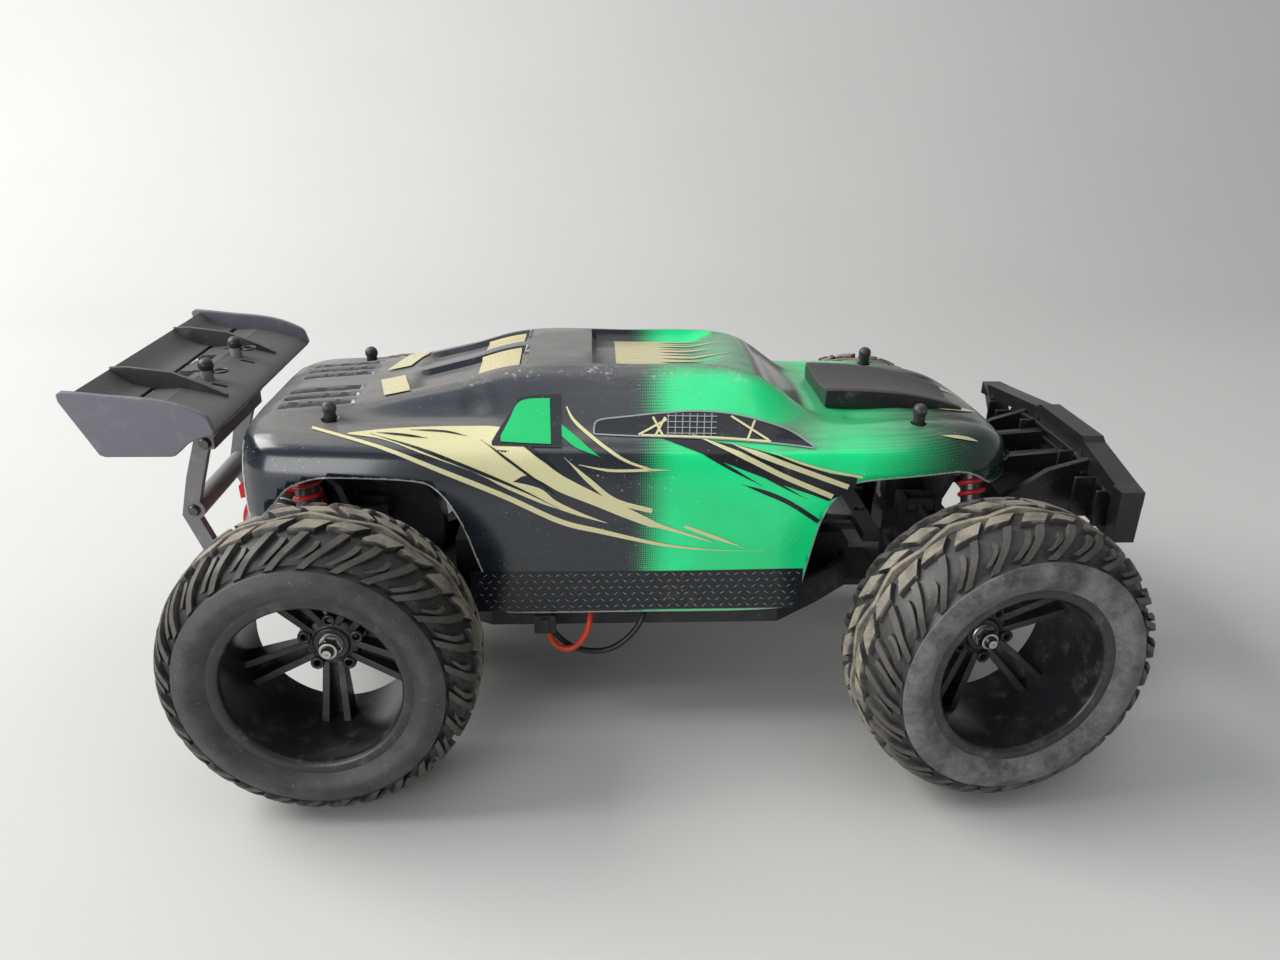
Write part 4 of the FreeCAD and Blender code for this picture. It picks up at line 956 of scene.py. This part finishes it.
def tyre_rubber(name, base, dusty):
    """Rubber: worn tan block tops, brown dust in the grooves, smooth greyer bead ring."""
    f = Finish(name, roughness=0.7)
    fine, patches = f.noise(0.45, 3.0), f.noise(11.0, 5.0, 0.7)
    raised = f.attribute("raised")
    crown = f.ramp(raised, 0.6, 1.0)
    bead = f.ramp(raised, -0.4, -0.9)
    top = f.product(f.ramp(raised, 0.1, 0.5), f.ramp(patches, 0.3, 0.62, 0.3, 1.0),
                    f.ramp(fine, 0.25, 0.6, 0.5, 1.0), f.ramp(crown, 0.0, 1.0, 0.2, 0.85))
    groove = f.product(f.ramp(f.math("ABSOLUTE", raised), 0.5, 0.1), f.ramp(fine, 0.3, 0.7, 0.1, 0.5),
                       0.25 + dusty * 0.3)
    ring = f.product(bead, f.ramp(patches, 0.3, 0.7, 0.15, 1.0), f.ramp(fine, 0.2, 0.6, 0.5, 1.0), dusty)
    specks = f.ramp(f.noise(1.0, 2.0), 0.7, 0.73, 0.0, 0.35)
    colour = f.mix(fine, [c * 0.7 for c in base], base)
    for share, layer in ((groove, (0.12, 0.11, 0.095)), (top, (0.34, 0.3, 0.235)), (ring, (0.27, 0.27, 0.275)),
                         (specks, (0.4, 0.39, 0.37))):
        colour = f.mix(share, colour, layer)
    return f.finish(colour, f.ramp(f.math("MAXIMUM", top, ring), 0.0, 0.7, 0.5, 0.85), fine, 0.06)


def spoke_bar(shape, angle, ends):
    """Bar that rises from the hub disc's inner plane, given at each end as reach, (left, right) and top."""
    along = Vector((math.cos(angle), 0, math.sin(angle)))
    across = Vector((-math.sin(angle), 0, math.cos(angle)))
    rings = []
    for reach, (left, right), top in ends:
        a, b = along * reach + across * left, along * reach + across * right
        rings.append([(p.x, y, p.z) for p, y in ((a, DISC_IN), (b, DISC_IN), (b, top), (a, top))])
    shape.solid(rings)


def rim_shape(turn):
    """Deep dish, hub disc with five screw bosses and five spokes of two ribs with a channel between."""
    shape = Shape()
    out = RIM_OUT
    shape.lathe([(DISH_R, -out), (DISH_R + 0.2, 0), (DISH_R, out - 3.2), (DISH_R + 0.15, out - 1.2),
                 (DISH_R + 0.8, out - 0.35), (DISH_R + 1.9, out), (LIP_R - 1.6, out), (LIP_R - 0.5, out - 0.3),
                 (LIP_R, out - 1.1), (LIP_R, out - 4.0), (34.0, out - 4.4), (34.0, out - 8.0),
                 (32.5, out - 9.5), (32.5, -out + 9.5), (34.0, -out + 8.0), (34.0, -out + 4.4),
                 (LIP_R, -out + 4.0), (LIP_R, -out)], sides=144)
    shape.lathe([(2.1, DISC_IN), (2.1, DISC_OUT), (6.2, DISC_OUT), (6.8, DISC_OUT - 0.8), (8.2, DISC_OUT - 0.9),
                 (9.6, DISC_OUT - 1.3), (10.4, DISC_OUT - 2.4), (10.6, DISC_IN)], sides=72)
    boss = [(1.25, DISC_OUT - 3.4), (1.25, DISC_OUT + 0.2), (1.6, DISC_OUT + 0.5), (2.2, DISC_OUT + 0.4),
            (2.5, DISC_OUT), (2.6, DISC_IN)]
    screw = [(0.02, DISC_IN + 0.2), (1.3, DISC_IN + 0.2), (1.3, DISC_IN + 1.4), (0.02, DISC_IN + 1.4)]
    for k in range(5):
        angle = turn + 2 * math.pi * k / 5
        for side in (-1, 1):
            spoke_bar(shape, angle, ((7.5, sorted((side * 1.3, side * 3.9)), DISC_OUT - 0.5),
                                     (DISH_R + 0.8, sorted((side * 2.6, side * 5.4)), DISC_OUT + 4.6)))
        spoke_bar(shape, angle, ((9.0, (-2.0, 2.0), DISC_IN + 1.6), (DISH_R + 0.6, (-3.2, 3.2), DISC_IN + 3.0)))
        between = angle + math.pi / 5
        place = Vector((math.cos(between), 0, math.sin(between))) * 9.7
        shape.lathe(boss, at=(place.x, 0, place.z), sides=24)
        shape.lathe(screw, at=(place.x, 0, place.z), sides=12)
    return shape


def hexagon(shape, levels, turn=12):
    """Six-sided bar through (y, corner radius) levels."""
    angles = [math.radians(60 * k + turn) for k in range(6)]
    shape.solid([[(r * math.cos(a), y, r * math.sin(a)) for a in angles] for y, r in levels])


def axle_shape(end):
    """Stub axle with its drive hexagon, flanged lock nut with a nylon collar, and the rounded thread end."""
    shape = Shape()
    inner, seat = STUB_IN[end], DISC_OUT
    shape.lathe([(0.05, inner), (2.3, inner), (2.5, inner + 0.3), (2.5, DISC_IN), (0.05, DISC_IN)], sides=32)
    if end == "rear":
        shape.lathe([(3.4, inner - 7.0), (4.2, inner - 7.0), (4.5, inner - 6.6), (4.5, inner + 0.3),
                     (3.4, inner + 0.3), (3.4, inner - 0.5)], sides=48)
        shape.lathe([(0.05, inner - 0.5), (3.4, inner - 0.5), (3.4, inner + 0.3), (0.05, inner + 0.3)],
                    sides=48)
    hexagon(shape, [(DISC_IN - 3.6, 6.6), (DISC_IN - 3.3, 6.9), (DISC_IN - 0.3, 6.9), (DISC_IN, 6.6)])
    corner, collar_r, thread_r, root_r = 4.04, 3.5, 1.98, 1.72
    hexagon(shape, [(seat + 0.4, corner - 0.25), (seat + 0.8, corner), (seat + 3.0, corner),
                    (seat + 3.5, corner - 0.35)])
    shape.lathe([(2.0, seat), (4.5, seat), (4.6, seat + 0.3), (4.2, seat + 0.6), (2.0, seat + 0.6)], sides=48)
    shape.lathe([(2.1, seat + 3.2), (collar_r, seat + 3.2), (collar_r, seat + 4.2), (3.2, seat + 4.9),
                 (2.5, seat + 5.0), (2.1, seat + 4.7)], sides=48)
    thread = [(0.05, seat)]
    for k in range(9):
        thread += [(thread_r, seat + 0.7 * k), (root_r, seat + 0.7 * k + 0.35)]
    thread += [(thread_r, seat + 6.3), (1.6, seat + 7.0), (0.6, seat + 7.0), (0.4, seat + 6.6),
               (0.05, seat + 6.6)]
    shape.lathe(thread, sides=32)
    return shape


def wheels():
    """Tyre, rim and nut of each wheel."""
    rubber = {"rear": tyre_rubber("rear_rubber", (0.02, 0.02, 0.022), 0.16),
              "front": tyre_rubber("front_rubber", (0.03, 0.03, 0.033), 0.75)}
    spoke_turn = {"rear": math.radians(-90), "front": math.radians(-62)}
    for name, (end, side) in WHEELS.items():
        place, body = wheel_matrix(end, side), f"{end}_{side}_wheel"
        add(f"{name}_tyre_tread", tyre_shape(), rubber[end], body, f"{end}_tyre_{side}", sharp=38,
            matrix=place)
        add(f"{name}_rim_wheel", rim_shape(spoke_turn[end]), rim_plastic, body, f"{end}_rim_{side}",
            sharp=35, bevel=0.25, matrix=place)
        add(f"{name}_axle_and_nut", axle_shape(end), steel, body, f"{end}_axle_{side}", sharp=30,
            matrix=place)


# ------------------------------------------------------------------ springs, motor
COIL_R, COIL_WIRE_R = 5.8, 1.05      # outside of the coil, and of its wire
TURNS, CLOSED_TURNS = 11.0, 0.9      # open turns, and closed ones at each end
TURN_STEPS = 20


def spring(end, side):
    """Open coil with closed ends, set along its shock and riding on it."""
    node = f"{end}_shock_spring_{side}"
    joint = JOINTS[f"{end}_{side}_shock_stroke"]
    axis = Vector(joint["axis"]).normalized()
    low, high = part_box(node)
    span = (high - low) / MM
    length = (span.z - 2 * COIL_R * abs(axis.y)) / axis.z
    middle = centre(node)
    side_x = Vector((1, 0, 0))
    side_y = axis.cross(side_x)
    count = int((TURNS + 2 * CLOSED_TURNS) * TURN_STEPS)
    path = []
    for k in range(count + 1):
        turn = k / TURN_STEPS
        share = min(1.0, max(0.0, (turn - CLOSED_TURNS) / TURNS))
        closed = min(turn, CLOSED_TURNS) + max(0.0, turn - TURNS - CLOSED_TURNS)
        rise = COIL_WIRE_R * closed + share * (length - 2 * COIL_WIRE_R * (1 + CLOSED_TURNS))
        angle = 2 * math.pi * turn
        on_axis = middle + axis * (rise + COIL_WIRE_R - length / 2)
        path.append(on_axis + (side_x * math.cos(angle) + side_y * math.sin(angle)) * (COIL_R - COIL_WIRE_R))
    rings = []
    for k, point in enumerate(path):
        run = (path[min(k + 1, count)] - path[max(k - 1, 0)]).normalized()
        u = run.cross(axis).normalized()
        v = run.cross(u)
        rings.append([tuple(point + (u * math.cos(t) + v * math.sin(t)) * COIL_WIRE_R)
                      for t in (math.pi * j / 4 for j in range(8))])
    shape = Shape()
    shape.solid(rings)
    piece = add(f"{end}_{side}_coil_spring", shape, spring_red, f"{end}_{side}_shock", node, sharp=60)
    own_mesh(piece)


def motor():
    """Can with end bell and terminals, and a finned red clamp collar."""
    x, _, z = centre("motor_pinion")
    low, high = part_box("motor")
    y0, y1 = low.y / MM, high.y / MM
    can_r, fin_r, fin_depth, fin_pitch = 14.0, 16.2, 1.4, 2.6
    can = Shape()
    can.lathe([(1.9, y0 + 0.5), (4.6, y0 + 0.5), (5.0, y0 + 1.0), (5.0, y0 + 2.4), (12.0, y0 + 2.4),
               (12.6, y0 + 3.0), (12.6, y0 + 5.2), (13.4, y0 + 5.4), (can_r, y0 + 6.2), (can_r, y1 - 1.2),
               (can_r - 1.2, y1), (4.2, y1), (4.0, y1 - 0.9), (1.9, y1 - 0.9)], at=(x, 0, z), sides=72)
    for sign in (-1, 1):
        can.box(x + sign * 7 - 1.4, x + sign * 7 + 1.4, y0, y0 + 3.2, z + 6.0, z + 6.8)
    add("motor_body", can, motor_can, "truck", "motor", sharp=30, bevel=0.2)
    start, end, root_r = -26.0, -14.0, fin_r - fin_depth
    profile = [(can_r + 0.05, start), (root_r, start)]
    for k in range(5):
        y = start + fin_pitch * k
        profile += [(fin_r, y + 0.15), (fin_r, y + 1.2), (root_r, y + 1.35), (root_r, y + 2.4)]
    profile = profile[:-1] + [(root_r, end), (can_r + 0.05, end)]
    collar = Shape()
    collar.lathe(profile, at=(x, 0, z), sides=72)
    collar.prism([(x - 16.2, z + 10.2), (x - 7.6, z + 12.6), (x - 7.6, z + 16.6), (x - 9, z + 17),
                  (x - 15, z + 17), (x - 16.4, z + 15.6)], "y", -24.8, -15.2)
    add("motor_clamp_collar", collar, red_anodised, "truck", sharp=30, bevel=0.3)


wheels()
for end_name, side_name in WHEELS.values():
    spring(end_name, side_name)
motor()


# ------------------------------------------------------------------ wing
PLATE_Y, PLATE_HALF = 63.1, 1.2      # middle and half thickness of an end plate
WING_REACH = PLATE_Y - PLATE_HALF
WING_REAR, WING_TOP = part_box("wing")[0].x / MM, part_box("wing")[1].z / MM
POST_X, POST_Y = -164.5, 17.0


def ball(shape, place, radius, flat, sides=20, rings=10):
    """Ball about a point, cut level at its foot by the share flat of its radius."""
    x, y, z = place
    start = math.asin(-1 + flat)
    loops = []
    for k in range(rings + 1):
        a = start + (math.pi / 2 - start) * k / rings
        r = max(radius * math.cos(a), 0.02)
        loops.append([(x + r * math.cos(2 * math.pi * j / sides), y + r * math.sin(2 * math.pi * j / sides),
                       z + radius * math.sin(a)) for j in range(sides)])
    shape.solid(loops)


def wing_front_plate():
    """Thin blade with a hole and a slot for each post."""
    front = catmull([(-168.6, 133.6), (-158, 131.3), (-151, 129.2), (-147.6, 127.2), (-146.9, 125.9)], 6)
    under = catmull([(-148.2, 125.8), (-152, 127.3), (-158, 129.3), (-168.6, 131.6)], 5)
    plate = Shape()
    plate.prism(front + under, "y", -WING_REACH, WING_REACH)
    piece = make("wing_front_plate", plate, [wing_plastic])
    tools = []
    for side in (-1, 1):
        x, y = POST_X, side * POST_Y
        hole, slot = Shape(), Shape()
        hole.round((x, y, 120), (x, y, 145), 2.6, sides=28)
        slot.box(x + 3.2, x + 8.6, y - 5.4, y - 3.2, 120, 145)
        tools += [make("cut_wing", hole, []), make("cut_wing", slot, [])]
    cut_away(piece, tools)
    round_edges(piece, 0.25, 1, 30)
    shade(piece, 30)
    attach(piece, "truck")
    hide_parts("wing")


def wing_flap():
    """Concave flap, the strips that join it to the front plate, fences and the pads under the post holes."""
    shape = Shape()
    flap = catmull([(-180, 133.7), (-185, 134.6), (-189, 136.6), (-192.5, 139.2), (-194.6, WING_TOP - 1.4)], 6)
    back = catmull([(-194.0, WING_TOP - 2.4), (-191.6, 138.0), (-188, 135.2), (-185, 133.1), (-180, 132.2)], 6)
    shape.prism(flap + back, "y", -WING_REACH, WING_REACH)
    bar = [(-168.2, 133.6), (-178.2, 133.2), (-178.4, 131.9), (-180.4, 131.9), (-180.4, 130.9), (-168.2, 131.2)]
    for y0, y1 in ((-WING_REACH, -16), (-8, 8), (16, WING_REACH)):
        shape.prism(bar, "y", y0, y1)
    for y in (-12, 12):
        shape.prism([(-168.2, 133.6), (-172.0, 133.4), (-172.0, 131.4), (-168.2, 131.2)], "y", y - 4, y + 4)
    fence = [(-194.6, WING_TOP - 0.6), (-188, 141.7), (-172, 139.6), (-160, 134.6), (-152.5, 130.9),
             (-152.5, 128.6), (-170, 132.4), (-184, 132.6), (-191, 137)]
    for side in (-1, 1):
        shape.prism(fence, "y", side * 31 - 0.9, side * 31 + 0.9)
        shape.box(-160.5, -149.0, side * POST_Y - 9, side * POST_Y + 9, 126.6, 128.0)
    add("wing_flap", shape, wing_plastic, "truck", sharp=35, bevel=0.25)


def wing_end_plates():
    """Two upright plates: the top edge falls toward the front, and the front edge curves in below."""
    outline = [(WING_REAR, 141.2), (WING_REAR + 1.4, WING_TOP)]
    outline += catmull([(-190, 141.6), (-181, 140.6), (-168, 139.4), (-158, 137.3), (-150, 133.8),
                        (-148, 131.8)], 4)
    outline += [(-146.6, 127.2), (-147.2, 125.8)]
    outline += catmull([(-152, 124.9), (-156, 123.0), (-159.4, 120.0)], 4)
    outline += [(-161.5, 118.3), (-163, 117.9), (-185.8, 117.9), (-187.8, 118.7), (WING_REAR + 0.2, 138.6)]
    shape = Shape()
    for side in (-1, 1):
        shape.prism(outline, "y", side * PLATE_Y - PLATE_HALF, side * PLATE_Y + PLATE_HALF)
    add("wing_end_plates", shape, plate_plastic, "truck", sharp=35, bevel=0.5)


def wing_post_balls():
    """Round heads of the two posts."""
    shape = Shape()
    for side in (-1, 1):
        ball(shape, (POST_X, side * POST_Y, 138.2), 3.0, 0.3)
    add("wing_post_balls", shape, plastic, "truck", sharp=50)


# ------------------------------------------------------------------ bumper, hood scoop
def bumper_ribs():
    """Long ribs on the back of the bumper's centre panel and the walls of its end pockets."""
    shape = Shape()
    for k, z in enumerate((84.4, 88.6, 92.8, 97.0, 101.0)):
        reach = 40 - 2.0 * k
        shape.prism([(187.2, -reach), (190.0, -20), (190.0, 20), (187.2, reach), (184.9, reach), (187.4, 20),
                     (187.4, -20), (184.9, -reach)], "z", z - 0.9, z + 0.9)
    for side in (-1, 1):
        shape.box(181, 190.4, side * 20 - 0.8, side * 20 + 0.8, 82, 102)
        shape.box(178.5, 187.4, side * 42 - 0.8, side * 42 + 0.8, 82, 99)
        shape.box(180.5, 188.5, side * 56 - 0.7, side * 56 + 0.7, 84, 99)
    add("bumper_back_ribs", shape, bumper_plastic, "truck", sharp=35, bevel=0.35)


def hood_scoop():
    """Raised black plate on the hood with a shallow trough along its top."""
    stations = [(80.5, 21, 121.6, 128.9), (84, 21, 121.4, 129.0), (98, 20.6, 120.6, 128.4),
                (112, 20, 120.2, 127.0), (124, 19, 119.4, 124.6), (133, 17.6, 118.2, 121.9),
                (139, 16, 116.6, 119.5)]
    rings = []
    for x, half, base, top in catmull(stations, 4):
        line = [(half, base), (half + 0.2, top - 1.6), (half - 0.5, top - 0.4), (half - 2.0, top),
                (half - 5.0, top - 0.5), (half - 10.0, top - 1.3), (0, top - 1.7)]
        rings.append([(x, -y, z) for y, z in line] + [(x, y, z) for y, z in reversed(line[:-1])])
    shape = Shape()
    shape.solid(rings)
    scoop_plastic = worn("scoop_plastic", (0.012, 0.012, 0.014), (0.17, 0.16, 0.15), 0.35, (0.3, 0.75),
                         top=0.55, speck=0.4)
    add("hood_scoop", shape, scoop_plastic, "shell", bevel=0.3)


wing_front_plate()
wing_flap()
wing_end_plates()
wing_post_balls()
bumper_ribs()
hood_scoop()


# ------------------------------------------------------------------ finishes of the parts that keep their shape
FINISHES = {
    "chassis": plastic, "gearbox_case": plastic, "motor": motor_can, "shock_towers": plastic,
    "tail_frame": frame_plastic, "wing": wing_plastic, "fasteners": dark_steel, "front_bumper": bumper_plastic,
    "battery": battery_wrap, "servo_and_controller": plastic, "battery_connector": plastic,
    "spur_gear": gear_plastic, "motor_pinion": steel, "servo_horn": grey_plastic, "steering_link": dark_steel,
}
FINISH_OF_WORD = (                   # for the other nodes, by the first of these words in the name
    ("arm", plastic), ("upper_link", plastic), ("hub", plastic), ("caster", plastic), ("knuckle", plastic),
    ("track_rod", plastic), ("cylinder", dark_steel), ("rod", shaft_steel), ("axle", steel),
    ("drive_shaft", shaft_steel), ("rim", rim_plastic), ("tyre", black_rubber), ("spring", spring_red),
    ("shell", plastic), ("lead", black_rubber),
)
EDGE = 0.4                           # rounding of moulded edges
JOIN = 0.002                         # points closer than this count as one while edges are rounded
ROUNDED = {"chassis": 0.6, "gearbox_case": 0.8, "shock_towers": EDGE, "tail_frame": 0.6,
           "servo_and_controller": 0.8, "battery_connector": EDGE, "battery": 1.6, "front_bumper": 1.4}
for name, piece in frame["nodes"].items():
    finish = FINISHES.get(name) or next((material for word, material in FINISH_OF_WORD if word in name), None)
    piece.data.materials.clear()
    piece.data.materials.append(finish)
    if name in ROUNDED or any(word in name for word in ("arm", "knuckle", "caster")):
        joined = piece.modifiers.new("joined", "WELD")
        joined.merge_threshold = JOIN * MM
        round_edges(piece, ROUNDED.get(name, EDGE), 3, 30).harden_normals = True
